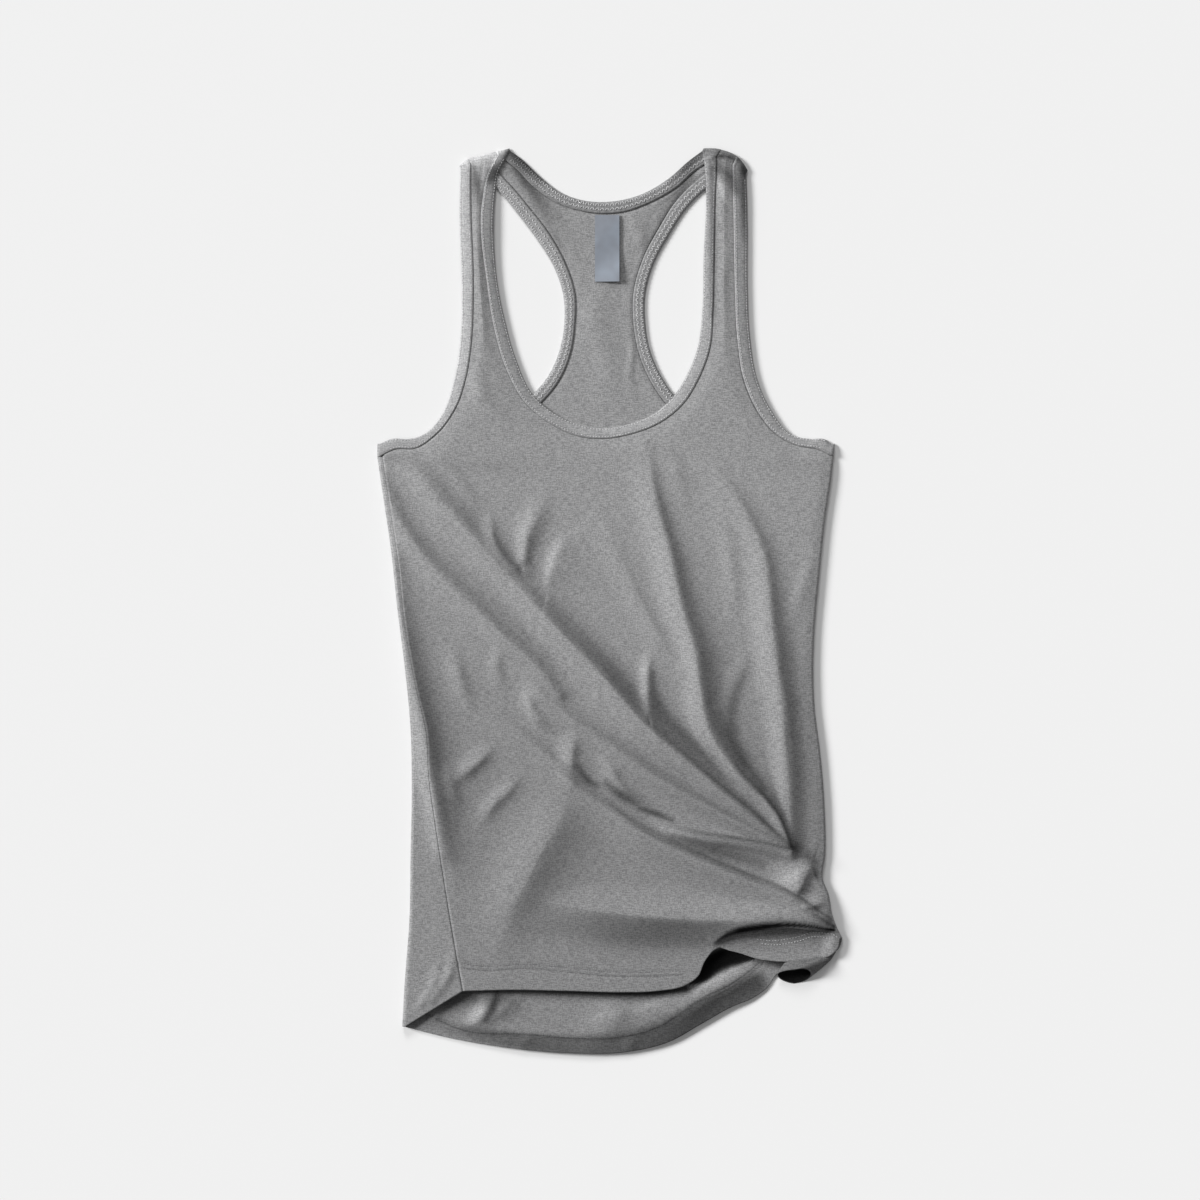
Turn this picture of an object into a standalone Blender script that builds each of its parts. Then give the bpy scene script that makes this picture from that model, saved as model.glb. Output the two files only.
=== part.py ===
"""Racerback tank top in fine jersey, laid flat with its front up.

The garment lies on the plane z = 0 with its neck towards +Y. The back panel is
the lower layer and rests on that plane, and the front panel is the upper one.
The left side seam has turned on to the front, so the back panel wraps over that
side. The right side is gathered above the hem, and the folds fan out from it.
Sizes in the tables are millimetres, seen from above, with x = 0 and y = 0 at
the middle of the garment's bounding box.
"""

from collections import namedtuple

import bmesh
import bpy
import numpy as np

MM = 0.001

WALL = 1.2  # thickness of a panel
BINDING_WALL = 2.0  # thickness of the folded binding
TURN = 2.4  # how far the cloth bulges out where it turns over
SEAM_GAP = 0.3  # parting between two pieces that are sewn together
WELD = 0.01  # points of one piece this close are one point
CALM_TOP = 4.8  # height of the upper layer's outer face where no fold lifts it
BINDING_PROUD = 0.3  # the binding stands this much above the panel
LOWEST_RELIEF = -0.8  # deepest dip of the upper layer below CALM_TOP
HIGHEST_RELIEF = 7.8  # folds that meet level off below this height
SIDE_FADE = 10.0  # folds die out over this distance from the right side

FRONT_STRAP_COLUMNS = 11  # across a strap, and on to the centre line below it
FRONT_UNDERARM_COLUMNS = 4  # along the seam from the foot of a strap to the side
FRONT_STRAP_ROWS = 16
FRONT_BODY_ROWS = 38
ROW_SAG = 12.0  # how far the lowest row of a front strap bows down
BACK_STRAP_COLUMNS = 6
BACK_UNDERARM_COLUMNS = 8
BACK_STRAP_ROWS = 8
BACK_RACER_ROWS = 10
BACK_BODY_ROWS = 18
HEM_CROWDING = 1.5  # panel columns lie closer together towards the gathered end of the hem
TURN_STEPS = 6  # steps in a half turn of cloth, and half as many in a quarter
STRIP_COLUMNS = 4

LABEL_WIDTH = 21.0
LABEL_LENGTH = 56.0
LABEL_WALL = 1.0
LABEL_LIFT = 2.0  # the label's free end stands this much off the panel
LABEL_ASIDE = 2.0  # the label is sewn on this far right of the middle of the neck seam
LABEL_ROWS = 6
LABEL_COLUMNS = 4

JERSEY_GREY = (0.27, 0.27, 0.28, 1.0)
BINDING_GREY = (0.25, 0.25, 0.26, 1.0)
LABEL_GREY = (0.33, 0.36, 0.40, 1.0)


def table(columns, *rows):
    """The rows as one array for each named column."""
    return dict(zip(columns.split(), np.array(rows, float).T))


# Bindings, from the shoulder fold to the underarm or the centre. "edge" is the
# free edge of the opening and "seam" is the edge that is sewn to the panel.
EDGE_AND_SEAM = "edge_x edge_y seam_x seam_y"
LEFT_ARM_FRONT = table(
    EDGE_AND_SEAM,
    (-126, 365, -117, 368),
    (-126, 328, -116, 328),
    (-124, 262, -114, 262),
    (-125, 222, -116, 214),
    (-130, 187, -121, 184),
    (-140, 157, -130, 160),
    (-154, 141, -144, 141),
    (-168, 136, -162, 128),
    (-183, 136, -180, 127),
    (-195, 132, -195, 121),
)
LEFT_ARM_BACK = table(
    EDGE_AND_SEAM,
    (-126, 365, -117, 368),
    (-109, 359, -102, 366),
    (-94, 345, -87, 353),
    (-78, 326, -69, 332),
    (-60, 302, -50, 307),
    (-47, 281, -37, 283),
    (-39, 257, -29, 257),
    (-38, 235, -29, 234),
    (-42, 211, -33, 207),
    (-51, 190, -43, 184),
    (-65, 173, -58, 166),
    (-88, 157, -83, 148),
    (-117, 145, -114, 135),
    (-151, 137, -149, 126),
    (-176, 134, -175, 123),
    (-195, 132, -195, 121),
)
RIGHT_ARM_FRONT = table(
    EDGE_AND_SEAM,
    (116, 361, 104, 368),
    (116, 315, 104, 314),
    (116, 262, 105, 262),
    (118, 222, 107, 220),
    (124, 187, 113, 184),
    (136, 160, 126, 156),
    (152, 140, 141, 139),
    (169, 136, 158, 130),
    (180, 136, 175, 127),
    (189, 132, 188, 122),
)
RIGHT_ARM_BACK = table(
    EDGE_AND_SEAM,
    (116, 361, 104, 368),
    (99, 358, 92, 366),
    (84, 348, 77, 356),
    (66, 331, 57, 337),
    (50, 307, 41, 312),
    (37, 283, 28, 287),
    (30, 257, 20, 258),
    (30, 235, 20, 234),
    (34, 211, 25, 207),
    (44, 188, 36, 182),
    (56, 171, 49, 164),
    (76, 157, 70, 148),
    (105, 145, 102, 135),
    (143, 137, 141, 126),
    (170, 134, 170, 123),
    (189, 132, 188, 122),
)
NECK_FRONT = table(
    EDGE_AND_SEAM,
    (-84, 380, -95, 376),
    (-92, 363, -102, 359),
    (-96, 340, -107, 334),
    (-94, 267, -103, 267),
    (-87, 233, -97, 229),
    (-78, 202, -87, 195),
    (-64, 173, -69, 164),
    (-45, 157, -47, 147),
    (-25, 148, -26, 138),
    (-4, 145, -4, 136),
    (18, 149, 19, 140),
    (37, 157, 42, 149),
    (53, 171, 61, 164),
    (66, 192, 75, 186),
    (74, 213, 84, 210),
    (78, 245, 87, 244),
    (79, 288, 88, 288),
    (81, 342, 89, 342),
    (80, 364, 90, 362),
    (79, 380, 91, 374),
)
NECK_BACK = table(
    EDGE_AND_SEAM,
    (-84, 380, -95, 376),
    (-74, 371, -81, 365),
    (-57, 355, -64, 348),
    (-41, 343, -46, 335),
    (-20, 336, -22, 327),
    (-4, 335, -4, 325),
    (12, 337, 14, 327),
    (28, 342, 33, 334),
    (50, 355, 56, 347),
    (66, 369, 73, 362),
    (79, 380, 91, 374),
)

# Body of the garment, from the underarm to the hem.
LEFT_SIDE = table(
    "x y",
    (-195, 121),
    (-189, 82),
    (-183, 40),
    (-178, -6),
    (-172, -53),
    (-167, -106),
    (-166, -160),
    (-167, -213),
    (-168, -267),
    (-172, -321),
    (-174, -357),
)
LEFT_SEAM = table(
    "x y",
    (-190.6, 121),
    (-184.5, 82),
    (-178, 38),
    (-169, -36),
    (-161, -77),
    (-154, -106),
    (-151, -150),
    (-146, -187),
    (-138, -240),
    (-130, -288),
    (-123, -327),
)
RIGHT_SIDE = table(
    "x y",
    (188, 122),
    (186.5, 107),
    (181, 69),
    (176, 21),
    (172, -24),
    (171, -53),
    (172, -87),
    (177, -128),
    (180.5, -173),
    (181, -213),
    (179, -233),
    (184, -246),
    (187, -263),
    (191, -274),
    (195.5, -283),
)
FRONT_HEM = table(
    "x y",
    (-123, -327),
    (-84, -326),
    (-31, -327),
    (10, -328),
    (39, -327),
    (64, -322),
    (74, -315),
    (80, -302),
    (89, -292),
    (104, -294),
    (126, -300.5),
    (150, -302.5),
    (172, -300),
    (185, -297.5),
    (191, -292),
    (193, -283),
)
BACK_HEM = table(
    "x y",
    (-174, -357),
    (-138, -366),
    (-84, -375),
    (-31, -379.5),
    (10, -379),
    (50, -370),
    (77, -355),
    (104, -340),
    (119, -334),
    (132, -325),
    (140, -314),
    (148, -308.5),
    (163, -304.5),
    (179, -301),
    (188, -296),
    (193, -291),
    (195.5, -283),
)

# Folds of the front: the height and the half width of each crest or trough at
# both ends of its line, and the line. A trough has a negative height.
Fold = namedtuple("Fold", "name height half_width line")
FOLDS = (
    Fold(
        "long crease", (2, 6), (15, 9),
        ((-99, 68), (-63, 2), (-4, -60), (50, -123), (104, -170), (154, -209)),
    ),
    Fold(
        "lower crease", (2, 6), (14, 9),
        ((-81, -112), (-31, -152), (23, -186), (77, -219), (157, -254), (188, -274)),
    ),
    Fold(
        "crest between", (2, 5), (9, 8),
        ((42, -189), (77, -200), (117, -207), (154, -209), (168, -216)),
    ),
    Fold(
        "trough between", (-1.5, -2), (9, 7),
        ((-31, -144), (7, -165), (55, -197), (90, -213)),
    ),
    Fold(
        "left trough", (-1.5, -1.5), (9, 9),
        ((-181, 84), (-162, 53), (-122, 5), (-81, -36), (-40, -69), (39, -128)),
    ),
    Fold(
        "left crest", (2.5, 2.5), (20, 14),
        ((-170, 10), (-139, -30), (-95, -72), (-40, -105), (15, -140)),
    ),
    Fold(
        "centre trough", (-1.5, -2.5), (9, 6),
        ((36, 116), (47, 68), (64, -2), (81, -51), (98, -112), (120, -149), (153, -204)),
    ),
    Fold(
        "centre crest", (2.5, 4), (11, 8),
        ((34, 51), (50, 10), (68, -37), (90, -96), (112, -140), (140, -183)),
    ),
    Fold(
        "right trough", (-1, -2), (8, 7),
        ((98, 105), (125, 59), (140, 9), (141, -33), (149, -80), (152, -128), (154, -198)),
    ),
    Fold(
        "right crest", (2, 4), (8, 7),
        ((127, -20), (130, -80), (138, -120), (145, -160)),
    ),
    Fold(
        "side crest", (2, 4), (9, 9),
        ((170, 96), (166, 46), (158, -10), (160, -70), (166, -140), (168, -200)),
    ),
    Fold("gather", (5, 6), (13, 12), ((160, -208), (172, -228), (176, -250), (182, -272))),
    Fold("lifted hem", (4, 6.5), (15, 15), ((92, -292), (126, -291), (160, -292), (188, -290))),
    Fold("belly", (1.5, 1.5), (70, 60), ((-60, 40), (-40, -60), (20, -20), (60, -90))),
)

# Rolled end of the back hem at the gathered side: its axis and outer radius.
ROLL_LINE = ((148.3, -313.3), (178.5, -304.9))
ROLL_RADIUS = (5.9, 4.2)
ROLL_STEPS = 16
ROLL_ROWS = 5
ROLL_OPEN_ANGLE = 60  # degrees left open on the side that faces the garment


def points(columns, *names):
    """An array with a column for each name and a row for each row of the table."""
    return np.stack([columns[name] for name in names], axis=-1)


def spline(values, count, crowding=1.0):
    """`count` rows on a smooth curve through the rows of `values`, evenly spaced.

    A crowding above 1 moves the rows closer together towards the curve's end.

    Rows hold one or more points side by side. Each stretch is a Hermite cubic,
    and the slopes at its ends come from the rows on either side.
    """
    pairs = values.reshape(len(values), -1, 2)
    steps = np.linalg.norm(np.diff(pairs, axis=0), axis=2).mean(axis=1)
    knots = np.concatenate([[0], np.cumsum(steps)])
    slopes = np.gradient(values, knots, axis=0)
    at = knots[-1] * (1 - (1 - np.linspace(0, 1, count)) ** crowding)
    k = np.clip(np.searchsorted(knots, at, side="right") - 1, 0, len(knots) - 2)
    step = (knots[k + 1] - knots[k])[:, None]
    f = (at - knots[k])[:, None] / step
    start = (1 + 2 * f) * (1 - f) ** 2 * values[k] + f * (1 - f) ** 2 * step * slopes[k]
    end = f**2 * (3 - 2 * f) * values[k + 1] + f**2 * (f - 1) * step * slopes[k + 1]
    return start + end


def smooth_step(value):
    """0 below 0, 1 above 1 and an even S between."""
    value = np.clip(value, 0, 1)
    return value**2 * (3 - 2 * value)


def along_line(xy, line):
    """Distance of each point to a line of straight stretches, and how far along it lies."""
    line = np.array(line, float)
    ends = np.concatenate([[0], np.cumsum(np.linalg.norm(np.diff(line, axis=0), axis=1))])
    nearest = np.full(xy.shape[:-1], np.inf)
    share = np.zeros(xy.shape[:-1])
    for k, (start, end) in enumerate(zip(line[:-1], line[1:])):
        length = ends[k + 1] - ends[k]
        f = np.clip((xy - start) @ (end - start) / length**2, 0, 1)
        distance = np.linalg.norm(xy - start - f[..., None] * (end - start), axis=-1)
        closer = distance < nearest
        nearest = np.where(closer, distance, nearest)
        share = np.where(closer, (ends[k] + f * length) / ends[-1], share)
    return nearest, share


def top_height(xy):
    """Height of the upper layer's outer face: each fold adds a bell across its line."""
    relief = np.zeros(xy.shape[:-1])
    for fold in FOLDS:
        distance, share = along_line(xy, fold.line)
        height = fold.height[0] + share * (fold.height[1] - fold.height[0])
        half_width = fold.half_width[0] + share * (fold.half_width[1] - fold.half_width[0])
        relief += height * np.exp(-((distance / half_width) ** 2))
    relief = HIGHEST_RELIEF * np.tanh(relief / HIGHEST_RELIEF)
    side = np.interp(-xy[..., 1], -RIGHT_SIDE["y"], RIGHT_SIDE["x"])
    relief *= smooth_step((side - xy[..., 0]) / SIDE_FADE)
    return CALM_TOP + np.maximum(relief, LOWEST_RELIEF)


def raised(xy, height):
    """The points (x, y) at a height above the resting plane."""
    return np.concatenate([xy, np.broadcast_to(height, xy.shape[:-1])[..., None]], axis=-1)


def coons(left, right, top, bottom):
    """A patch whose four edges are these curves: the blends across and down, less the corners' blend."""
    down = np.linspace(0, 1, len(left))[:, None, None]
    across = np.linspace(0, 1, len(top))[None, :, None]
    sides = (1 - across) * left[:, None] + across * right[:, None]
    ends = (1 - down) * top[None] + down * bottom[None]
    corners = (1 - down) * ((1 - across) * top[0] + across * top[-1])
    corners = corners + down * ((1 - across) * bottom[0] + across * bottom[-1])
    return sides + ends - corners


def ruled(left, right, columns):
    """Straight rows of points from the left point or points to the right ones."""
    across = np.linspace(0, 1, columns + 1)[:, None]
    return (1 - across) * left[..., None, :] + across * right[..., None, :]


def half_turn(edge, outward, steps=TURN_STEPS):
    """Rows that carry an edge of the upper layer out, round and down to the resting plane."""
    angle = np.linspace(0, np.pi, steps + 1)[1:, None]
    height = edge[:, 2] / 2 * (1 + np.cos(angle))
    reach = TURN * np.sin(angle)[..., None] * np.asarray(outward)
    return raised(edge[None, :, :2] + reach, height)


def quarter_turn(edge, outward):
    """Rows that carry an edge of the upper layer out and down to just above the lower one."""
    angle = np.linspace(0, np.pi / 2, TURN_STEPS // 2 + 1)[:, None]
    lowest = WALL + SEAM_GAP
    height = lowest + (edge[:, 2] - lowest) * np.cos(angle)
    reach = TURN * np.sin(angle)[..., None] * np.asarray(outward)
    return raised(edge[None, :, :2] + reach, height)


def fold_direction(columns, other):
    """Outward direction square to a shoulder fold, which runs through both bindings' first rows."""
    start = np.array([columns["edge_x"][0], columns["edge_y"][0]])
    end = np.array([other["edge_x"][0], other["edge_y"][0]])
    along = (end - start) / np.linalg.norm(end - start)
    square = np.array([-along[1], along[0]])
    return square if square[1] > 0 else -square


LEFT_OUT = np.array([-1.0, 0.0])
RIGHT_OUT = np.array([1.0, 0.0])
LEFT_SHOULDER_OUT = fold_direction(LEFT_ARM_FRONT, NECK_FRONT)
NECK_RIGHT_END = {name: column[::-1] for name, column in NECK_FRONT.items()}
RIGHT_SHOULDER_OUT = fold_direction(RIGHT_ARM_FRONT, NECK_RIGHT_END)


def drawn_in(curve, first_out, last_out):
    """The curve with its ends moved in by the turn, so that the turn ends on the outline."""
    curve = curve.copy()
    pairs = curve.reshape(len(curve), -1, 2)
    pairs[0] -= TURN * first_out
    pairs[-1] -= TURN * last_out
    return curve


def binding_stretch(columns, first_out, last_out, count):
    """Rows (edge x, edge y, seam x, seam y) along one layer of a binding."""
    rows = drawn_in(points(columns, *EDGE_AND_SEAM.split()), first_out, last_out)
    return spline(rows, count)


def seam_line(columns, first_out, last_out, count):
    """The panel's edge along a binding, parted from the binding's seam edge."""
    rows = binding_stretch(columns, first_out, last_out, count)
    edge, seam = rows[:, :2], rows[:, 2:]
    away = (seam - edge) / np.linalg.norm(seam - edge, axis=1)[:, None]
    return seam + SEAM_GAP * away


def make_material(name, colour, roughness):
    """A plain cloth finish."""
    material = bpy.data.materials.new(name)
    material.use_nodes = True
    shader = material.node_tree.nodes["Principled BSDF"]
    shader.inputs["Base Color"].default_value = colour
    shader.inputs["Roughness"].default_value = roughness
    shader.inputs["Metallic"].default_value = 0.0
    return material


def make_cloth(name, grids, wall, material, collection):
    """One wall of cloth: grids of points welded into its outer face, thickened inwards.

    The highest part of each piece has its outer face up, which settles its side.
    """
    cloth = bmesh.new()
    for grid in grids:
        rows = [[cloth.verts.new(point * MM) for point in row] for row in grid]
        for upper, lower in zip(rows[:-1], rows[1:]):
            for a, b, c, d in zip(upper[:-1], upper[1:], lower[1:], lower[:-1]):
                cloth.faces.new((a, b, c, d))
    bmesh.ops.remove_doubles(cloth, verts=cloth.verts, dist=WELD * MM)
    bmesh.ops.recalc_face_normals(cloth, faces=cloth.faces)
    highest = max(cloth.faces, key=lambda face: face.calc_center_median().z)
    if highest.normal.z < 0:
        bmesh.ops.reverse_faces(cloth, faces=cloth.faces)
    mesh = bpy.data.meshes.new(name)
    cloth.to_mesh(mesh)
    cloth.free()
    mesh.materials.append(material)
    mesh.shade_smooth()
    piece = bpy.data.objects.new(name, mesh)
    collection.objects.link(piece)
    solidify = piece.modifiers.new("wall", "SOLIDIFY")
    solidify.thickness = wall * MM
    solidify.offset = -1
    return piece


def front_grids():
    """Front panel: two straps that join at the neck, and the body down to the hem."""
    columns, rows, under = FRONT_STRAP_COLUMNS, FRONT_STRAP_ROWS, FRONT_UNDERARM_COLUMNS
    left_arm = seam_line(LEFT_ARM_FRONT, LEFT_SHOULDER_OUT, LEFT_OUT, rows + under + 1)
    right_arm = seam_line(RIGHT_ARM_FRONT, RIGHT_SHOULDER_OUT, RIGHT_OUT, rows + under + 1)
    left_arm[-1] = LEFT_SEAM["x"][0] + SEAM_GAP, LEFT_SEAM["y"][0] - SEAM_GAP
    neck = seam_line(NECK_FRONT, LEFT_SHOULDER_OUT, RIGHT_SHOULDER_OUT, 2 * rows + 1)
    left_strap = sagged(ruled(left_arm[: rows + 1], neck[: rows + 1], columns))
    right_strap = sagged(ruled(neck[: rows - 1 : -1], right_arm[: rows + 1], columns))
    top = underarm_row(left_arm[rows:], left_strap[-1], right_strap[-1], right_arm[rows:])
    left = spline(points(LEFT_SEAM, "x", "y"), FRONT_BODY_ROWS + 1) + (SEAM_GAP, 0)
    right = spline(points(RIGHT_SIDE, "x", "y"), FRONT_BODY_ROWS + 1) - (TURN, 0)
    bottom = spline(points(FRONT_HEM, "x", "y"), len(top), HEM_CROWDING)
    left[0], right[0], left[-1], right[-1] = top[0], top[-1], bottom[0], bottom[-1]
    body = coons(left, right, top, bottom)
    upper = [raised(grid, top_height(grid)) for grid in (left_strap, right_strap, body)]
    return upper + [
        quarter_turn(upper[0][0], LEFT_SHOULDER_OUT),
        quarter_turn(upper[1][0], RIGHT_SHOULDER_OUT),
        quarter_turn(upper[2][:, -1], RIGHT_OUT),
    ]


def sagged(strap):
    """The strap's rows bowed down, the more the lower they lie, to follow the curve of the neck."""
    share = np.linspace(0, 1, strap.shape[1])[None]
    lowness = np.linspace(0, 1, len(strap))[:, None] ** 2
    strap[..., 1] -= ROW_SAG * 4 * share * (1 - share) * lowness
    return strap


def underarm_row(left_arm, left_row, right_row, right_arm):
    """The row from side to side: up one underarm seam, across both halves, down the other."""
    return np.concatenate([left_arm[:0:-1], left_row, right_row[1:], right_arm[1:]])


def back_grids():
    """Back panel: straps, racerback and body on the plane, and the side that turns on to the front."""
    columns, yoke = BACK_STRAP_COLUMNS, BACK_STRAP_ROWS
    racer_end = yoke + BACK_RACER_ROWS
    count = racer_end + BACK_UNDERARM_COLUMNS + 1
    left_arm = seam_line(LEFT_ARM_BACK, LEFT_SHOULDER_OUT, LEFT_OUT, count)
    right_arm = seam_line(RIGHT_ARM_BACK, RIGHT_SHOULDER_OUT, RIGHT_OUT, count)
    neck = seam_line(NECK_BACK, LEFT_SHOULDER_OUT, RIGHT_SHOULDER_OUT, 2 * yoke + 1)
    left_strap = ruled(left_arm[: yoke + 1], neck[: yoke + 1], columns)
    right_strap = ruled(neck[: yoke - 1 : -1], right_arm[: yoke + 1], columns)
    split = np.concatenate([left_strap[-1], right_strap[-1, 1:]])
    waist = ruled(left_arm[racer_end], right_arm[racer_end], 2 * columns)
    left_racer, right_racer = left_arm[yoke : racer_end + 1], right_arm[yoke : racer_end + 1]
    racer = coons(left_racer, right_racer, split, waist)
    top = underarm_row(left_arm[racer_end:], waist, waist[-1:], right_arm[racer_end:])
    side = spline(points(LEFT_SIDE, "x", "y"), BACK_BODY_ROWS + 1) + (TURN, 0)
    right = spline(points(RIGHT_SIDE, "x", "y"), BACK_BODY_ROWS + 1)
    bottom = spline(points(BACK_HEM, "x", "y"), len(top), HEM_CROWDING)
    side[0], right[0], bottom[0], right[-1] = top[0], top[-1], side[-1], bottom[-1]
    body = coons(side, right, top, bottom)
    lower = [raised(grid, 0) for grid in (left_strap, right_strap, racer, body)]
    seam = spline(points(LEFT_SEAM, "x", "y"), BACK_BODY_ROWS + 1)
    seam[0, 1] = side[0, 1]
    strip = ruled(side, seam, STRIP_COLUMNS)
    strip = raised(strip, top_height(strip))
    turned = half_turn(strip[:, 0], LEFT_OUT)
    return lower + [strip, np.concatenate([strip[None, :, 0], turned])]


def binding_grid(stretches):
    """Closed band of three points a row: over one layer, round the fold, back along the other."""
    rows = []
    for stretch, upper, turn_out in stretches:
        edge, seam = stretch[:, :2], stretch[:, 2:]
        band = np.stack([edge, (edge + seam) / 2, seam], axis=1)
        band = raised(band, top_height(band) + BINDING_PROUD if upper else 0)
        rows.append(band)
        turn = half_turn(band[-1] if upper else following_top(band[-1]), turn_out)
        rows.append(turn[:-1] if upper else turn[-2::-1])
    rows = np.concatenate(rows)
    return np.concatenate([rows, rows[:1]])


def following_top(row):
    """The upper layer's row above a row of the lower layer."""
    return raised(row[:, :2], top_height(row[:, :2]) + BINDING_PROUD)


def arm_binding(front, back, shoulder_out, side_out):
    """Binding of one armhole: down the front, under the arm, up the back, over the shoulder."""
    front_rows = FRONT_STRAP_ROWS + FRONT_UNDERARM_COLUMNS + 1
    back_rows = BACK_STRAP_ROWS + BACK_RACER_ROWS + BACK_UNDERARM_COLUMNS + 1
    down = binding_stretch(front, shoulder_out, side_out, front_rows)
    up = binding_stretch(back, shoulder_out, side_out, back_rows)[::-1]
    return binding_grid([(down, True, side_out), (up, False, shoulder_out)])


def neck_binding():
    """Binding of the neck: round the front, over one shoulder, round the back, over the other."""
    front_rows, back_rows = 2 * FRONT_STRAP_ROWS + 1, 2 * BACK_STRAP_ROWS + 1
    front = binding_stretch(NECK_FRONT, LEFT_SHOULDER_OUT, RIGHT_SHOULDER_OUT, front_rows)
    back = binding_stretch(NECK_BACK, LEFT_SHOULDER_OUT, RIGHT_SHOULDER_OUT, back_rows)[::-1]
    return binding_grid([(front, True, RIGHT_SHOULDER_OUT), (back, False, LEFT_SHOULDER_OUT)])


def label_grid():
    """Blank label that hangs from the back neck seam over the inside of the back panel."""
    middle = len(NECK_BACK["seam_x"]) // 2
    centre = NECK_BACK["seam_x"][middle] + LABEL_ASIDE
    start = NECK_BACK["seam_y"][middle] - 2 * SEAM_GAP
    down = np.linspace(0, 1, LABEL_ROWS + 1)[:, None]
    sideways = np.linspace(-0.5, 0.5, LABEL_COLUMNS + 1)[None]
    xy = np.stack(np.broadcast_arrays(centre + LABEL_WIDTH * sideways, start - LABEL_LENGTH * down), -1)
    lift = LABEL_LIFT * down**2 * (1 - 2 * sideways**2)
    return raised(xy, WALL + SEAM_GAP + LABEL_WALL + lift)


def roll_grid():
    """Rolled end of the back hem: an open tube that tapers along its axis."""
    along = np.linspace(0, 1, ROLL_ROWS)[:, None]
    start, end = np.array(ROLL_LINE)
    axis = (end - start) / np.linalg.norm(end - start)
    square = np.array([-axis[1], axis[0]])
    open_half = np.radians(ROLL_OPEN_ANGLE / 2)
    angle = np.linspace(open_half, 2 * np.pi - open_half, ROLL_STEPS + 1)[None]
    radius = ROLL_RADIUS[0] + along * (ROLL_RADIUS[1] - ROLL_RADIUS[0])
    centre = start + along * (end - start)
    xy = centre[:, None] + (radius * np.cos(angle))[..., None] * square
    return raised(xy, radius * (1 + np.sin(angle)))


def build():
    """Clears the scene and makes every piece of the garment."""
    for old in list(bpy.data.objects):
        bpy.data.objects.remove(old)
    collection = bpy.data.collections.new("tank_top")
    bpy.context.scene.collection.children.link(collection)
    jersey = make_material("jersey", JERSEY_GREY, 0.9)
    binding = make_material("binding", BINDING_GREY, 0.9)
    satin = make_material("label_satin", LABEL_GREY, 0.4)
    left_arm = arm_binding(LEFT_ARM_FRONT, LEFT_ARM_BACK, LEFT_SHOULDER_OUT, LEFT_OUT)
    right_arm = arm_binding(RIGHT_ARM_FRONT, RIGHT_ARM_BACK, RIGHT_SHOULDER_OUT, RIGHT_OUT)
    make_cloth("front_panel", front_grids(), WALL, jersey, collection)
    make_cloth("back_panel", back_grids(), WALL, jersey, collection)
    make_cloth("neck_binding", [neck_binding()], BINDING_WALL, binding, collection)
    make_cloth("left_arm_binding", [left_arm], BINDING_WALL, binding, collection)
    make_cloth("right_arm_binding", [right_arm], BINDING_WALL, binding, collection)
    make_cloth("neck_label", [label_grid()], LABEL_WALL, satin, collection)
    make_cloth("hem_roll", [roll_grid()], WALL, jersey, collection)


build()
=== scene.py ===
"""Racerback tank top in grey marl jersey, laid flat with its front up.

Lengths in the tables are millimetres, seen from above: x to the right, y towards
the neck and z up off the table, with x = 0 and y = 0 at the middle of the garment.
"""

from collections import namedtuple

import bmesh
import bpy
import numpy as np
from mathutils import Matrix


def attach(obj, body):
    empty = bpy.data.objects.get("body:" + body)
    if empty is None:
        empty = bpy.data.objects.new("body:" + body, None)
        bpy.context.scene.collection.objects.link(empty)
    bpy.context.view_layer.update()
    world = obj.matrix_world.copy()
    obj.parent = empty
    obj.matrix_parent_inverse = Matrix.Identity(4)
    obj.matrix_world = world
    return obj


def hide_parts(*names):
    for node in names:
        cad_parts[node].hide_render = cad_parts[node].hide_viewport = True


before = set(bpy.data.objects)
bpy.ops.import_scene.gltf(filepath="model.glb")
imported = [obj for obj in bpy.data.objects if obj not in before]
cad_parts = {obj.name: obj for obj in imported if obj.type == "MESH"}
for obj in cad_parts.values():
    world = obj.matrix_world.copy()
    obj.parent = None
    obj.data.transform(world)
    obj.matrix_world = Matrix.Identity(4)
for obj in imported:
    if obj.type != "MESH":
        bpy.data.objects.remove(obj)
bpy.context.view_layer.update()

MM = 0.001


# ------------------------------------------------------------------ table and light
# A plain pale table top under one large soft lamp, low on the left of the garment and
# a little towards its neck, a weaker one beyond the neck, and even light from all round.

LAMPS = (  # degrees from +X seen from above, degrees above the table, degrees across, power
    ("side_lamp", 161, 26, 17, 4.4),
    ("neck_lamp", 100, 30, 18, 1.15),
)
ROOM_LIGHT = 0.29
TABLE_SIDE = 6.0
TABLE_GREY = 0.80
VIEW_WIDTH = 1.008  # metres across the frame, at the table
VIEW_CENTRE = (-0.008, 0.0008)
VIEW_DISTANCE = 3.0
SENSOR = 36.0


def grey_shader(material, grey, roughness):
    """Sets the material's shader to one even grey."""
    material.use_nodes = True
    shader = material.node_tree.nodes["Principled BSDF"]
    shader.inputs["Base Color"].default_value = (grey, grey, grey, 1)
    shader.inputs["Roughness"].default_value = roughness
    return shader


bpy.ops.mesh.primitive_plane_add(size=TABLE_SIDE, location=(0, 0, 0))
table_top = bpy.context.object
table_top.name = "table_top"
table_paint = bpy.data.materials.new("table_paint")
grey_shader(table_paint, TABLE_GREY, 0.9)
table_top.data.materials.append(table_paint)

for name, azimuth, height, across, power in LAMPS:
    lamp_data = bpy.data.lights.new(name, "SUN")
    lamp_data.energy = power
    lamp_data.angle = np.radians(across)
    lamp = bpy.data.objects.new(name, lamp_data)
    lamp.rotation_euler = (0, np.radians(90 - height), np.radians(azimuth))
    bpy.context.scene.collection.objects.link(lamp)

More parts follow.
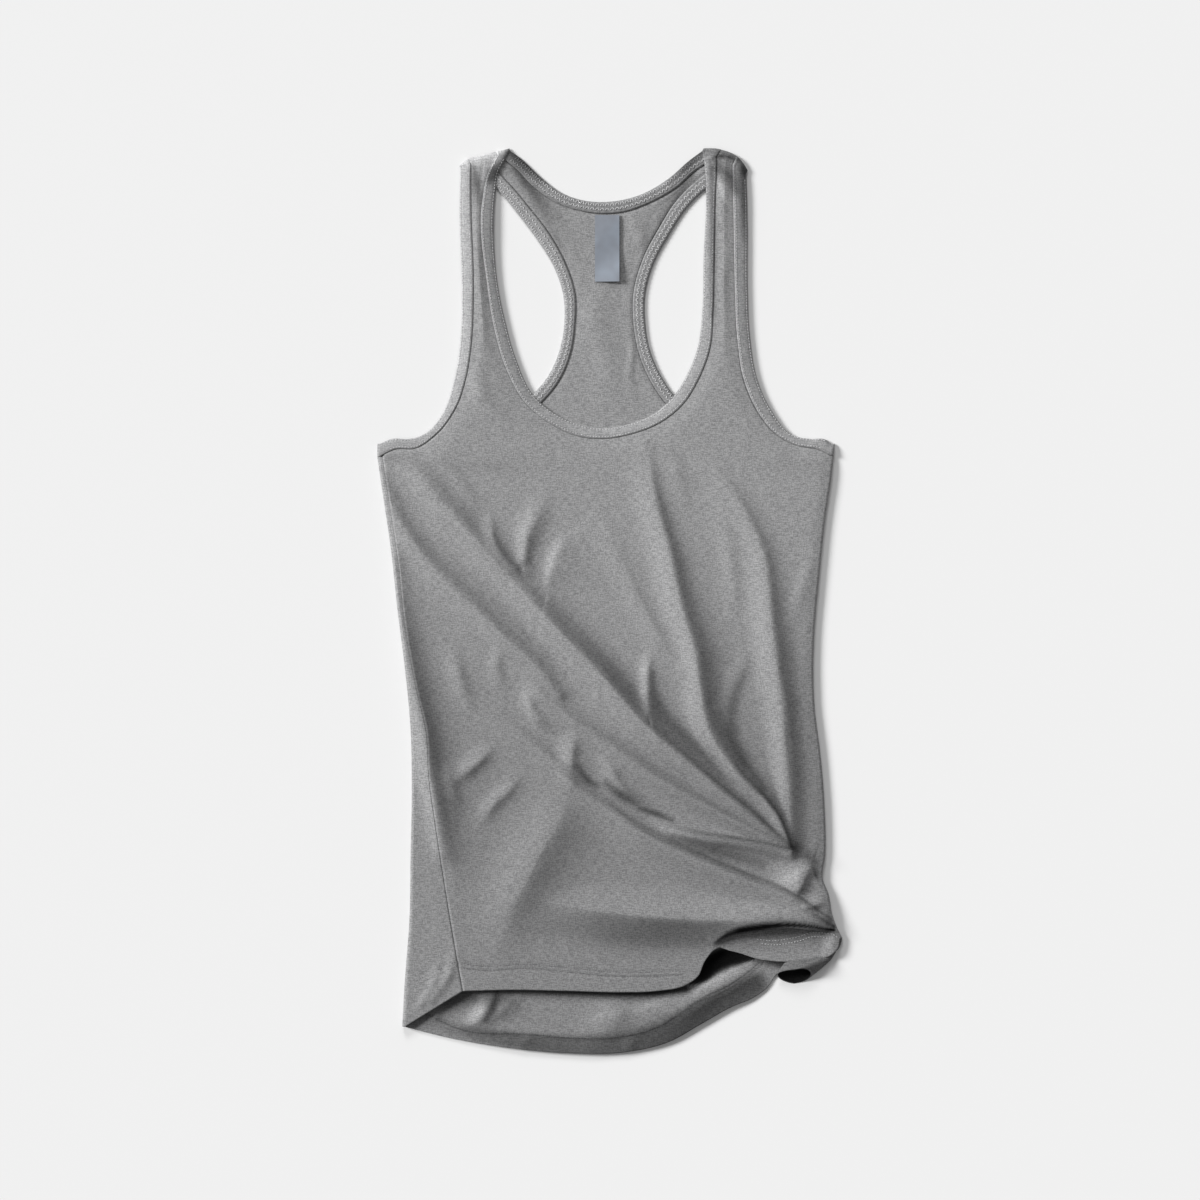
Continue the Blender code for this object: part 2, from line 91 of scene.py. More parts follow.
room = bpy.data.worlds.new("room")
room.use_nodes = True
room.node_tree.nodes["Background"].inputs["Color"].default_value = (1, 1, 1, 1)
room.node_tree.nodes["Background"].inputs["Strength"].default_value = ROOM_LIGHT
bpy.context.scene.world = room
bpy.context.scene.view_settings.view_transform = "Standard"

camera_data = bpy.data.cameras.new("camera")
camera_data.sensor_width = SENSOR
camera_data.lens = SENSOR * VIEW_DISTANCE / VIEW_WIDTH
camera = bpy.data.objects.new("camera", camera_data)
camera.location = (*VIEW_CENTRE, VIEW_DISTANCE)
bpy.context.scene.collection.objects.link(camera)
bpy.context.scene.camera = camera


# ------------------------------------------------------------------------ jersey
# Fine single jersey knitted from marl yarn, light and dark grey fibres spun
# together. The face shows columns of small loops, with short streaks along the rows.

JERSEY_LIGHT = (0.34, 0.34, 0.342, 1)
JERSEY_DARK = (0.185, 0.185, 0.188, 1)
LOOP_WIDTH = 0.00070
LOOP_HEIGHT = 0.00055
# How much of the marl comes from each noise, and their middle, which is taken off.
FINE, STREAK, UPRIGHT, BROAD = 2.2, 2.5, 1.6, 0.6
MARL_MIDDLE = 2.95


def knit_group():
    """Shader group for marl jersey. Place is metres across and along the cloth.

    Height is the loops: a rounded column for each loop width, cut by slanted rows that
    lean one way and the other in turn. Colour goes from the dark to the light yarn by
    the sum of a fine noise, a noise drawn out along the rows and a broad one.
    """
    group = bpy.data.node_groups.new("marl_knit", "ShaderNodeTree")
    given = (("Place", "NodeSocketVector"), ("Dark", "NodeSocketColor"), ("Light", "NodeSocketColor"))
    for name, kind in given:
        group.interface.new_socket(name, in_out="INPUT", socket_type=kind)
    for name, kind in (("Colour", "NodeSocketColor"), ("Height", "NodeSocketFloat")):
        group.interface.new_socket(name, in_out="OUTPUT", socket_type=kind)
    nodes, link = group.nodes, group.links.new
    start, end = nodes.new("NodeGroupInput"), nodes.new("NodeGroupOutput")

    def math(operation, first, second=0.0):
        """The result of one sum on two numbers or sockets."""
        node = nodes.new("ShaderNodeMath")
        node.operation = operation
        for socket, value in zip(node.inputs, (first, second)):
            if isinstance(value, (int, float)):
                socket.default_value = value
            else:
                link(value, socket)
        return node.outputs[0]

    def noise(stretch, detail):
        """Noise on the place, with this many cells to a metre across and along."""
        mapping = nodes.new("ShaderNodeMapping")
        mapping.inputs["Scale"].default_value = (*stretch, 1)
        link(start.outputs["Place"], mapping.inputs["Vector"])
        texture = nodes.new("ShaderNodeTexNoise")
        texture.inputs["Scale"].default_value = 1
        texture.inputs["Detail"].default_value = detail
        texture.inputs["Roughness"].default_value = 0.6
        link(mapping.outputs["Vector"], texture.inputs["Vector"])
        return texture.outputs["Fac"]

    parts = nodes.new("ShaderNodeSeparateXYZ")
    link(start.outputs["Place"], parts.inputs["Vector"])
    across = math("DIVIDE", parts.outputs["X"], LOOP_WIDTH)
    column = math("ABSOLUTE", math("SUBTRACT", math("FRACT", across), 0.5))
    slant = math("ADD", math("DIVIDE", parts.outputs["Y"], LOOP_HEIGHT), math("MULTIPLY", column, 1.6))
    row = math("ABSOLUTE", math("SUBTRACT", math("FRACT", slant), 0.5))
    bowed = math("SUBTRACT", 0.5, math("MULTIPLY", row, row))
    loops = math("MULTIPLY", bowed, math("SUBTRACT", 0.8, column))
    fine = noise((1000, 1000), 1)
    streak = noise((200, 1300), 1)
    upright = noise((1300, 240), 1)
    broad = noise((90, 110), 3)
    height = math("ADD", loops, math("MULTIPLY", fine, 0.5))
    link(height, end.inputs["Height"])
    marl = math("ADD", math("MULTIPLY", fine, FINE), math("MULTIPLY", streak, STREAK))
    marl = math("ADD", marl, math("MULTIPLY", upright, UPRIGHT))
    marl = math("ADD", marl, math("MULTIPLY", broad, BROAD))
    marl = math("ADD", math("SUBTRACT", marl, MARL_MIDDLE), math("MULTIPLY", loops, 0.10))
    mix = nodes.new("ShaderNodeMix")
    mix.data_type = "RGBA"
    link(marl, mix.inputs["Factor"])
    link(start.outputs["Dark"], mix.inputs["A"])
    link(start.outputs["Light"], mix.inputs["B"])
    link(mix.outputs["Result"], end.inputs["Colour"])
    return group


KNIT = knit_group()


def jersey(name, dark, light, bump):
    """Marl jersey finish on the piece's own UV map, which is in metres of cloth."""
    material = bpy.data.materials.new(name)
    shader = grey_shader(material, 0.3, 0.92)
    nodes, link = material.node_tree.nodes, material.node_tree.links.new
    place = nodes.new("ShaderNodeUVMap")
    place.uv_map = "cloth"
    knit = nodes.new("ShaderNodeGroup")
    knit.node_tree = KNIT
    knit.inputs["Dark"].default_value = dark
    knit.inputs["Light"].default_value = light
    # The shade attribute is painted shade and painted light: it scales the colour, and the sheen and
    # specular with it.
    shade = nodes.new("ShaderNodeAttribute")
    shade.attribute_name = "shade"
    dimmed = nodes.new("ShaderNodeMix")
    dimmed.data_type = "RGBA"
    dimmed.blend_type = "MULTIPLY"
    dimmed.inputs["Factor"].default_value = 1
    link(place.outputs["UV"], knit.inputs["Place"])
    link(knit.outputs["Colour"], dimmed.inputs["A"])
    link(shade.outputs["Fac"], dimmed.inputs["B"])
    link(dimmed.outputs["Result"], shader.inputs["Base Color"])
    relief = nodes.new("ShaderNodeBump")
    relief.inputs["Strength"].default_value = bump
    relief.inputs["Distance"].default_value = 0.0003
    link(knit.outputs["Height"], relief.inputs["Height"])
    link(relief.outputs["Normal"], shader.inputs["Normal"])
    for socket, amount in (("Specular IOR Level", 0.15), ("Sheen Weight", 0.12)):
        scaled = nodes.new("ShaderNodeMath")
        scaled.operation = "MULTIPLY"
        scaled.inputs[1].default_value = amount
        link(shade.outputs["Fac"], scaled.inputs[0])
        link(scaled.outputs[0], shader.inputs[socket])
    shader.inputs["Sheen Roughness"].default_value = 0.6
    return material


JERSEY = jersey("marl_jersey", JERSEY_DARK, JERSEY_LIGHT, 0.6)


# ------------------------------------------------------------ lie of the upper layer
# Outlines of the pieces as they lie, and the height of the cloth that lies on top: calm
# over the chest, lower along the bound openings, and folded from the gathered corner up.

CALM_TOP = 6.0  # height of the upper layer where no fold lifts it
SEAM_DIPS = ((1.4, 8.0), (0.2, 1.3))  # depth and width of the dips along a bound seam
HIGHEST_RELIEF = 22.0  # folds that meet level off below this height
CREST_ROUND = 0.35  # share of a sharp fold's width over which its crest is round
LOWEST_RELIEF = -2.2
SIDE_FADE = 24.0  # folds die out over this distance from the right side
SIDE_DIP = (1.2, 5.0)  # depth and width of the dip along the right side
TURN = 2.4  # how far the cloth bulges out where it turns over
SEAM_GAP = 0.15
SEAM_POINTS = 60  # points along a seam or hem
FOLD_POINTS = 24  # points along a fold's line


def table(columns, *rows):
    """The rows as one array for each named column."""
    return dict(zip(columns.split(), np.array(rows, float).T))


# "edge" is the free edge of an opening, and "seam" is where its binding meets the panel.
# All run from the shoulder fold to the side, or from the left shoulder to the right one.
EDGE_AND_SEAM = "edge_x edge_y seam_x seam_y"
LEFT_ARM_FRONT = table(
    EDGE_AND_SEAM,
    (-126, 365, -117, 368),
    (-126, 328, -116, 328),
    (-124, 262, -114, 262),
    (-125, 222, -116, 214),
    (-130, 187, -121, 184),
    (-140, 157, -130, 160),
    (-154, 141, -144, 141),
    (-168, 136, -162, 128),
    (-183, 136, -180, 127),
    (-195, 132, -195, 121),
)
LEFT_ARM_BACK = table(
    EDGE_AND_SEAM,
    (-126, 365, -117, 368),
    (-109, 359, -102, 366),
    (-94, 345, -87, 353),
    (-78, 326, -69, 332),
    (-60, 302, -50, 307),
    (-47, 281, -37, 283),
    (-39, 257, -29, 257),
    (-38, 235, -29, 234),
    (-42, 211, -33, 207),
    (-51, 190, -43, 184),
    (-65, 173, -58, 166),
    (-88, 157, -83, 148),
    (-117, 145, -114, 135),
    (-151, 137, -149, 126),
    (-176, 134, -175, 123),
    (-195, 132, -195, 121),
)
RIGHT_ARM_FRONT = table(
    EDGE_AND_SEAM,
    (116, 361, 104, 368),
    (116, 315, 104, 314),
    (116, 262, 105, 262),
    (118, 222, 107, 220),
    (124, 187, 113, 184),
    (136, 160, 126, 156),
    (152, 140, 141, 139),
    (169, 136, 158, 130),
    (180, 136, 175, 127),
    (189, 132, 188, 122),
)
RIGHT_ARM_BACK = table(
    EDGE_AND_SEAM,
    (116, 361, 104, 368),
    (99, 358, 92, 366),
    (84, 348, 77, 356),
    (66, 331, 57, 337),
    (50, 307, 41, 312),
    (37, 283, 28, 287),
    (30, 257, 20, 258),
    (30, 235, 20, 234),
    (34, 211, 25, 207),
    (44, 188, 36, 182),
    (56, 171, 49, 164),
    (76, 157, 70, 148),
    (105, 145, 102, 135),
    (143, 137, 141, 126),
    (170, 134, 170, 123),
    (189, 132, 188, 122),
)
NECK_FRONT = table(
    EDGE_AND_SEAM,
    (-84, 380, -95, 376),
    (-92, 363, -102, 359),
    (-96, 340, -107, 334),
    (-94, 267, -103, 267),
    (-87, 233, -97, 229),
    (-78, 202, -87, 195),
    (-64, 173, -69, 164),
    (-45, 157, -47, 147),
    (-25, 148, -26, 138),
    (-4, 145, -4, 136),
    (18, 149, 19, 140),
    (37, 157, 42, 149),
    (53, 171, 61, 164),
    (66, 192, 75, 186),
    (74, 213, 84, 210),
    (78, 245, 87, 244),
    (79, 288, 88, 288),
    (81, 342, 89, 342),
    (80, 364, 90, 362),
    (79, 380, 91, 374),
)
NECK_BACK = table(
    EDGE_AND_SEAM,
    (-84, 380, -95, 376),
    (-74, 371, -81, 365),
    (-57, 355, -64, 348),
    (-41, 343, -46, 335),
    (-20, 336, -22, 327),
    (-4, 335, -4, 325),
    (12, 337, 14, 327),
    (28, 342, 33, 334),
    (50, 355, 56, 347),
    (66, 369, 73, 362),
    (79, 380, 91, 374),
)

# Sides, the left side seam and hems, from the underarm down and from left to right.
LEFT_SIDE = table(
    "x y",
    (-195, 121),
    (-189, 82),
    (-183, 40),
    (-178, -6),
    (-172, -53),
    (-167, -106),
    (-166, -160),
    (-167, -213),
    (-168, -267),
    (-172, -321),
    (-174, -357),
)
LEFT_SEAM = table(
    "x y",
    (-190.6, 121),
    (-184.5, 82),
    (-178, 38),
    (-169, -36),
    (-161, -77),
    (-154, -106),
    (-151, -150),
    (-146, -187),
    (-138, -240),
    (-130, -288),
    (-123, -327),
)
RIGHT_SIDE = table(
    "x y",
    (188, 122),
    (186.5, 107),
    (181, 69),
    (176, 21),
    (172, -24),
    (171, -53),
    (172, -87),
    (177, -128),
    (180.5, -173),
    (181, -213),
    (179, -233),
    (184, -246),
    (187, -263),
    (191, -274),
    (195.5, -283),
)
FRONT_HEM = table(
    "x y",
    (-123, -327),
    (-84, -326),
    (-31, -327),
    (10, -328),
    (39, -327),
    (64, -322),
    (74, -315),
    (80, -302),
    (89, -292),
    (104, -294),
    (126, -300.5),
    (150, -302.5),
    (172, -300),
    (185, -297.5),
    (191, -292),
    (193, -283),
)
BACK_HEM = table(
    "x y",
    (-174, -357),
    (-138, -366),
    (-84, -375),
    (-31, -379.5),
    (10, -379),
    (50, -370),
    (77, -355),
    (104, -340),
    (119, -334),
    (132, -325),
    (140, -314),
    (148, -308.5),
    (163, -304.5),
    (179, -301),
    (188, -296),
    (193, -291),
    (195.5, -283),
)

# Folds: heights spaced evenly along the line, then the widths of the side that climbs to
# the crest, on the right hand of the line, and of the side beyond it. A sharp fold falls
# off steeply soon after its crest, and a soft one is round. Main folds run into each
# other in sharp valleys, and small ones lie on top of them.
Fold = namedtuple("Fold", "name kind heights rise_widths fall_widths line")
MAIN_FOLDS = (
    Fold("side seam", "sharp", (0.3, 4, 7, 8.5, 9, 8, 4), (10, 10), (8, 11),
         ((-185, 51), (-179, 18), (-174, -16), (-169, -45), (-162, -77), (-155, -107), (-150, -140),
          (-144, -171), (-137, -209))),
    Fold("left shoulder crease", "sharp", (1, 4, 6, 6, 6, 6, 5, 3.5), (12, 12, 10), (3, 5, 9, 9, 6),
         ((-192, 113), (-179, 76), (-163, 50), (-142, 25), (-113, -3), (-85, -31), (-63, -51),
          (-42, -78))),
    Fold("long crease", "sharp", (0.5, 4.5, 6.5, 6, 5.5, 7.5, 9, 10.5, 11, 11, 10.5, 10, 9, 8),
         (13, 13, 8), (9, 9, 11, 9, 4),
         ((-174, 129), (-155, 103), (-136, 80), (-117, 60), (-99, 38), (-80, 18), (-64, 1),
          (-47, -18), (-29, -37), (-10, -56), (7, -76), (26, -98), (44, -115), (68, -135),
          (89, -154), (110, -171), (131, -189), (153, -207))),
    Fold("centre crease", "sharp", (1, 5, 7, 8.5, 9.5, 10, 10, 9.5, 9), (15, 12, 8), (4, 6, 9, 12, 12, 8, 3),
         ((33, 123), (36, 102), (40, 81), (46, 60), (52, 39), (56, 18), (61, -3), (66, -20),
          (72, -37), (75, -58), (78, -79), (81, -98), (89, -117), (99, -131), (110, -147),
          (124, -160), (136, -172), (145, -189), (152, -207))),
    Fold("right crease", "sharp", (0.5, 3, 4.5, 6, 7.5, 7.5, 7, 6.5, 5), (14, 14, 9), (4, 5, 7, 8, 9, 10, 8),
         ((88, 114), (101, 96), (114, 76), (123, 58), (130, 39), (133, 22), (135, 1), (137, -20),
          (140, -41), (142, -62), (146, -83), (148, -108), (150, -134), (151, -159), (152, -180),
          (154, -201))),
    Fold("right edge crease", "soft", (0.5, 2, 2, 0.5), (4, 4), (14, 12),
         ((184, 59), (177, 47), (167, 26), (158, 3), (151, -18))),
    Fold("side panel", "soft", (0.5, 1.6, 1.6, 0.5), (9, 9), (9, 9),
         ((165, -33), (167, -66), (168, -108), (169, -150))),
    Fold("crease between", "sharp", (3, 4, 6, 7, 8, 8), (11, 9, 7), (6, 6, 3),
         ((-58, -75), (-25, -102), (9, -125), (38, -145), (76, -167), (118, -189), (153, -208))),
    Fold("tongue", "sharp", (1, 7, 9, 9, 7), (5, 5, 6), (3, 3, 2.2),
         ((39, -186), (52, -191), (76, -197), (118, -203), (153, -210))),
    Fold("lower crease", "sharp", (0.5, 2, 3, 4.5, 7, 8, 8, 6, 3), (20, 16, 12), (4, 4, 3, 2.5),
         ((-113, -86), (-79, -106), (-53, -127), (-33, -150), (-4, -170), (28, -193), (68, -212),
          (118, -233), (156, -249), (189, -271))),
    Fold("hem crest", "sharp", (2, 6.5, 8.5, 9, 6, 1), (12, 14, 18), (6, 10, 16),
         ((187, -270), (152, -269), (110, -269), (68, -267.5), (26, -265), (-16, -260), (-63, -252))),
    Fold("left ridge", "sharp", (1.5, 5.5, 6.5, 5.5, 1.5), (24, 20), (22, 18),
         ((-32, -160), (-42, -188), (-56, -211), (-67, -233), (-80, -258), (-89, -283))),
    Fold("knot ridge", "sharp", (4, 7, 7, 4), (8, 6), (2.2, 2.2),
         ((135, -205), (156, -209), (169, -217), (177, -231))),
    Fold("knot facet", "sharp", (4, 6, 5, 2), (16, 18, 14), (3.4, 4),
         ((169, -220), (166, -228), (161, -238), (154, -249))),
    Fold("knot wedge", "sharp", (5, 6, 3), (5, 5), (3, 3),
         ((185, -252), (173, -255), (160, -258))),
)
SMALL_FOLDS = (
    Fold("shade beyond long crease", "soft", (0, -1.5, -3, -3, -1.5, -0.5), (10, 8), (20, 9),
         ((-75, 34), (-42, -3), (-4, -41), (34, -83), (68, -113), (101, -142))),
    Fold("chest pleat", "sharp", (0.3, 2.6, 4, 3), (9, 9, 5), (5, 6, 5),
         ((-54, 85), (-61, 70), (-68, 55), (-71, 36))),
    Fold("chest wedge", "sharp", (0.3, 3, 3.6, 2), (6, 6), (4, 4, 3),
         ((-100, 73), (-99, 60), (-94, 46), (-79, 29))),
    Fold("chest dent", "sharp", (0.4, 3.2, 3.4, 1), (5, 5), (20, 20),
         ((-32, 54), (-41, 44), (-47, 29), (-51, 11))),
    Fold("centre fan", "sharp", (0.2, 1.6, 2.4, 2.8, 1.6), (12, 10), (5, 5, 6),
         ((-8, 75), (7, 41), (22, 8), (37, -21), (59, -60))),
    Fold("wedge", "sharp", (0.5, 4.5, 5, 3), (5, 5), (6, 7),
         ((34, -43), (32, -60), (32, -76), (34, -93))),
    Fold("fine crease", "sharp", (0.3, 2.2, 2.2, 1.2), (7, 6), (4, 4),
         ((-42, -56), (-8, -86), (26, -115), (59, -140))),
    Fold("dent one", "sharp", (0.6, 3, 2.8, 1), (9, 6), (4, 5),
         ((-132, -41), (-127, -56), (-123, -71), (-117, -88))),
    Fold("dent two", "sharp", (0.3, 3.4, 3.6, 1.2), (5, 6), (5, 6),
         ((-69, -75), (-66, -88), (-60, -98), (-48, -107))),
    Fold("dent three", "sharp", (0.4, 4, 4.6, 2), (10, 9), (5, 6),
         ((-28, -110), (-31, -125), (-32, -138), (-30, -149))),
    Fold("dent four", "sharp", (0.4, 3.6, 4, 1.6), (7, 7), (5, 6),
         ((-5, -127), (2, -142), (10, -155), (27, -170))),
    Fold("dent five", "sharp", (0.3, 3.6, 3.8, 0.5), (8, 8), (4, 5),
         ((-97, -123), (-108, -134), (-119, -143), (-131, -153))),
    Fold("dent six", "sharp", (0.3, 3, 3.2, 0.5), (7, 7), (4, 5),
         ((-74, -146), (-84, -159), (-96, -170), (-107, -186))),
    Fold("dent seven", "soft", (0.3, 2, 1.8, 0.3), (6, 6), (5, 5),
         ((-136, -134), (-132, -155), (-127, -177))),
    Fold("dent eight", "soft", (0.3, 1.6, 1.4, 0.3), (6, 6), (5, 5),
         ((-92, -39), (-95, -56), (-89, -75))),
    Fold("edge mark", "sharp", (0.3, 1.6, 1.4, 0.3), (4, 4), (5, 5),
         ((-181, 55), (-179, 41), (-177, 24))),
    Fold("right fan", "soft", (0.3, 2, 2, 0.4), (6, 6), (6, 6),
         ((116, -45), (106, -66), (100, -87), (101, -113))),
    Fold("right chest", "soft", (0.3, 1.4, 1.4, 0.3), (7, 7), (7, 7),
         ((89, 85), (99, 51), (104, 18), (108, -16))),
    Fold("low wave", "soft", (0.3, 1.4, 1.2, 0.3), (14, 14), (12, 12),
         ((26, -289), (-8, -276), (-42, -264), (-75, -272))),
    Fold("left shoulder hollow", "soft", (0.3, 1.6, 1.6, 0.4), (5, 5), (5, 5),
         ((-151, 125), (-134, 110), (-119, 92), (-109, 81))),
    Fold("chest wrinkle two", "soft", (0.3, 1.4, 0.4), (8, 8), (6, 6),
         ((49, 127), (56, 110), (63, 85))),
    Fold("upper left dent", "soft", (0.3, 1.6, 0.4), (6, 6), (7, 7),
         ((-117, 202), (-104, 173), (-87, 152))),
    Fold("hem pucker", "soft", (0.3, 1.8, 1.2), (4, 4), (4, 4),
         ((-129, -291), (-135, -314), (-149, -335))),
    Fold("hem pucker two", "soft", (0.3, 1.5, 1), (3, 3), (4, 4),
         ((-142, -303), (-149, -323), (-159, -339))),
    Fold("shoulder lip", "sharp", (0.5, 1.8, 1.8, 0.6), (4, 4), (2.2, 2.2),
         ((110, 368), (100, 371), (90, 371), (82, 367))),
    Fold("right strap streak", "sharp", (0.3, 1, 0.8, 0.2), (3.5, 3.5), (7, 6),
         ((94, 357), (93, 337), (95, 313))),
    Fold("right strap fold", "soft", (0.2, 0.7, 0.5, 0.2), (5, 5), (5, 5),
         ((98, 295), (94, 261), (100, 228))),
    Fold("left strap streak", "soft", (0.4, 1.5, 1.5, 0.8, 0.3), (4, 5), (4, 6),
         ((-110, 354), (-110, 320), (-110, 278), (-107, 236), (-109, 194))),
    Fold("left strap fold", "soft", (0.3, 1.4, 0.4), (7, 7), (6, 6),
         ((-117, 192), (-110, 171), (-94, 152))),
)


def points(columns, *names):
    """An array with a column for each name and a row for each row of the table."""
    return np.stack([columns[name] for name in names], axis=-1)


def spline(values, count, bias=0.0, mid_bias=0.0):
    """`count` rows on a smooth curve through the rows of `values`, evenly spaced.

    Each stretch is a Hermite cubic, and the slopes at its ends come from the rows on
    either side. With a bias the steps shrink evenly from 1 + bias to 1 - bias, and with
    a mid bias they grow from 1 - mid bias at both ends to 1 + mid bias in the middle.
    """
    pairs = values.reshape(len(values), -1, 2)
    steps = np.linalg.norm(np.diff(pairs, axis=0), axis=2).mean(axis=1)
    knots = np.concatenate([[0], np.cumsum(steps)])
    slopes = np.gradient(values, knots, axis=0)
    share = np.linspace(0, 1, count)
    at = share + bias * share * (1 - share) - mid_bias * np.sin(2 * np.pi * share) / (2 * np.pi)
    at *= knots[-1]
    k = np.clip(np.searchsorted(knots, at, side="right") - 1, 0, len(knots) - 2)
    step = (knots[k + 1] - knots[k])[:, None]
    f = (at - knots[k])[:, None] / step
    start = (1 + 2 * f) * (1 - f) ** 2 * values[k] + f * (1 - f) ** 2 * step * slopes[k]
    end = f**2 * (3 - 2 * f) * values[k + 1] + f**2 * (f - 1) * step * slopes[k + 1]
    return start + end


def smooth_step(value):
    """0 below 0, 1 above 1 and an even S between."""
    value = np.clip(value, 0, 1)
    return value**2 * (3 - 2 * value)


def along_line(xy, line):
    """Distance of each point to a line, the share of it passed, and its side (above 0 is left)."""
    ends = np.concatenate([[0], np.cumsum(np.linalg.norm(np.diff(line, axis=0), axis=1))])
    nearest = np.full(xy.shape[:-1], np.inf)
    share = np.zeros(xy.shape[:-1])
    side = np.zeros(xy.shape[:-1])
    for k, (start, end) in enumerate(zip(line[:-1], line[1:])):
        length, way, off = ends[k + 1] - ends[k], end - start, xy - start
        f = np.clip(off @ way / length**2, 0, 1)
        distance = np.linalg.norm(off - f[..., None] * way, axis=-1)
        closer = distance < nearest
        nearest = np.where(closer, distance, nearest)
        share = np.where(closer, (ends[k] + f * length) / ends[-1], share)
        side = np.where(closer, way[0] * off[..., 1] - way[1] * off[..., 0], side)
    return nearest, share, side


def part_way(share, values):
    """Values spaced evenly along a line, at each share of it."""
    return np.interp(share, np.linspace(0, 1, len(values)), values)


def fold_heights(xy, folds):
    """Each fold's height: a bell up to the crest, and a bell or a sharp fall beyond it."""
    for fold in folds:
        distance, share, side = along_line(xy, spline(np.array(fold.line, float), FOLD_POINTS))
        height = part_way(share, fold.heights)
        rise = distance / part_way(share, fold.rise_widths)
        fall = distance / part_way(share, fold.fall_widths)
        steep = np.exp(CREST_ROUND - np.hypot(fall, CREST_ROUND))
        fallen = steep if fold.kind == "sharp" else np.exp(-(fall**2))
        yield height * np.where(side > 0, fallen, np.exp(-(rise**2)))


def fold_relief(xy):
    """The main folds joined as their cubes' cube root, which keeps the highest, plus the small ones."""
    main = sum(height**3 for height in fold_heights(xy, MAIN_FOLDS)) ** (1 / 3)
    return main + sum(fold_heights(xy, SMALL_FOLDS))


FRONT_SEAMS = [
    spline(points(columns, "seam_x", "seam_y"), SEAM_POINTS)
    for columns in (LEFT_ARM_FRONT, RIGHT_ARM_FRONT, NECK_FRONT)
]


def from_side(xy):
    """How far each point lies in from the right side."""
    return np.interp(-xy[..., 1], -RIGHT_SIDE["y"], RIGHT_SIDE["x"]) - xy[..., 0]


def top_height(xy):
    """Height of the upper layer: calm, plus levelled folds, less two dips at each bound seam."""
    relief = HIGHEST_RELIEF * np.tanh(fold_relief(xy) / HIGHEST_RELIEF)
    relief = np.maximum(relief, LOWEST_RELIEF) * smooth_step(from_side(xy) / SIDE_FADE)
    off_seam = np.min([along_line(xy, seam)[0] for seam in FRONT_SEAMS], axis=0)
    dips = sum(depth * np.exp(-((off_seam / width) ** 2)) for depth, width in SEAM_DIPS)
    below_arm = xy[..., 1] < RIGHT_SIDE["y"][0]
    dips += SIDE_DIP[0] * np.exp(-((from_side(xy) / SIDE_DIP[1]) ** 2)) * below_arm
    return CALM_TOP + relief - dips


def raised(xy, height):
    """The points (x, y) at a height above the table."""
    return np.concatenate([xy, np.broadcast_to(height, xy.shape[:-1])[..., None]], axis=-1)


def coons(left, right, top, bottom):
    """A patch with these four edges: the blends across and down, less the corners' blend."""
    down = np.linspace(0, 1, len(left))[:, None, None]
    across = np.linspace(0, 1, len(top))[None, :, None]
    sides = (1 - across) * left[:, None] + across * right[:, None]
    ends = (1 - down) * top[None] + down * bottom[None]
    corners = (1 - down) * ((1 - across) * top[0] + across * top[-1])
    corners = corners + down * ((1 - across) * bottom[0] + across * bottom[-1])
    return sides + ends - corners


def ruled(left, right, columns):
    """Straight rows of points from the left point or points to the right ones."""
    across = np.linspace(0, 1, columns + 1)[:, None]
    return (1 - across) * left[..., None, :] + across * right[..., None, :]


def fold_direction(columns, other):
    """Outward direction square to a shoulder fold, which runs through both first rows."""
    start = np.array([columns["edge_x"][0], columns["edge_y"][0]])
    end = np.array([other["edge_x"][0], other["edge_y"][0]])
    along = (end - start) / np.linalg.norm(end - start)
    square = np.array([-along[1], along[0]])
    return square if square[1] > 0 else -square


LEFT_OUT = np.array([-1.0, 0.0])
RIGHT_OUT = np.array([1.0, 0.0])
LEFT_SHOULDER_OUT = fold_direction(LEFT_ARM_FRONT, NECK_FRONT)
NECK_RIGHT_END = {name: column[::-1] for name, column in NECK_FRONT.items()}
RIGHT_SHOULDER_OUT = fold_direction(RIGHT_ARM_FRONT, NECK_RIGHT_END)


def binding_stretch(columns, first_out, last_out, count, *biases):
    """Rows (edge x, edge y, seam x, seam y) along one layer, its ends drawn in by the turn."""
    rows = points(columns, *EDGE_AND_SEAM.split())
    rows[0] -= TURN * np.tile(first_out, 2)
    rows[-1] -= TURN * np.tile(last_out, 2)
    return spline(rows, count, *biases)


def seam_line(columns, first_out, last_out, count, *biases):
    """The panel's edge along a binding, parted from the binding's seam edge."""
    rows = binding_stretch(columns, first_out, last_out, count, *biases)
    edge, seam = rows[:, :2], rows[:, 2:]
    away = (seam - edge) / np.linalg.norm(seam - edge, axis=1)[:, None]
    return seam + SEAM_GAP * away


def underarm_row(left_arm, left_row, right_row, right_arm):
    """The row from side to side: up one underarm seam, across both halves, down the other."""
    return np.concatenate([left_arm[:0:-1], left_row, right_row[1:], right_arm[1:]])


# --------------------------------------------------------------------- back panel
# One piece of single jersey with a narrow racerback. It is the lower layer, so it shows
# its inside, and its left side comes round on to the front up to the side seam.

WALL = 0.9
BACK_TOP = 1.2  # height of the lower layer's upper face
HEM_RISE = 0.45  # a hem is two layers thick
HEM_GROOVE = 0.4
BACK_HEM_LIFT = 1.8
LIFT_START = (-150, 90)  # x at which the back hem starts to lift, and over what distance
LIFT_END = (140, 40)  # and the same where it lies down again
LIFT_WIDTH = 9
ROW_GAP = 3.4  # a hem has two rows of stitches this far apart
HEM_EDGE = 1.2  # width of the step up to a hem's extra layer
GROOVE_WIDTH = 0.9
LOWEST_CREASE = -0.5
CREASE_FADE = 8  # creases die out over this distance from a bound seam
LOWER_DIP = (0.5, 1.6)  # depth and width of the lower layer's dip along a bound seam
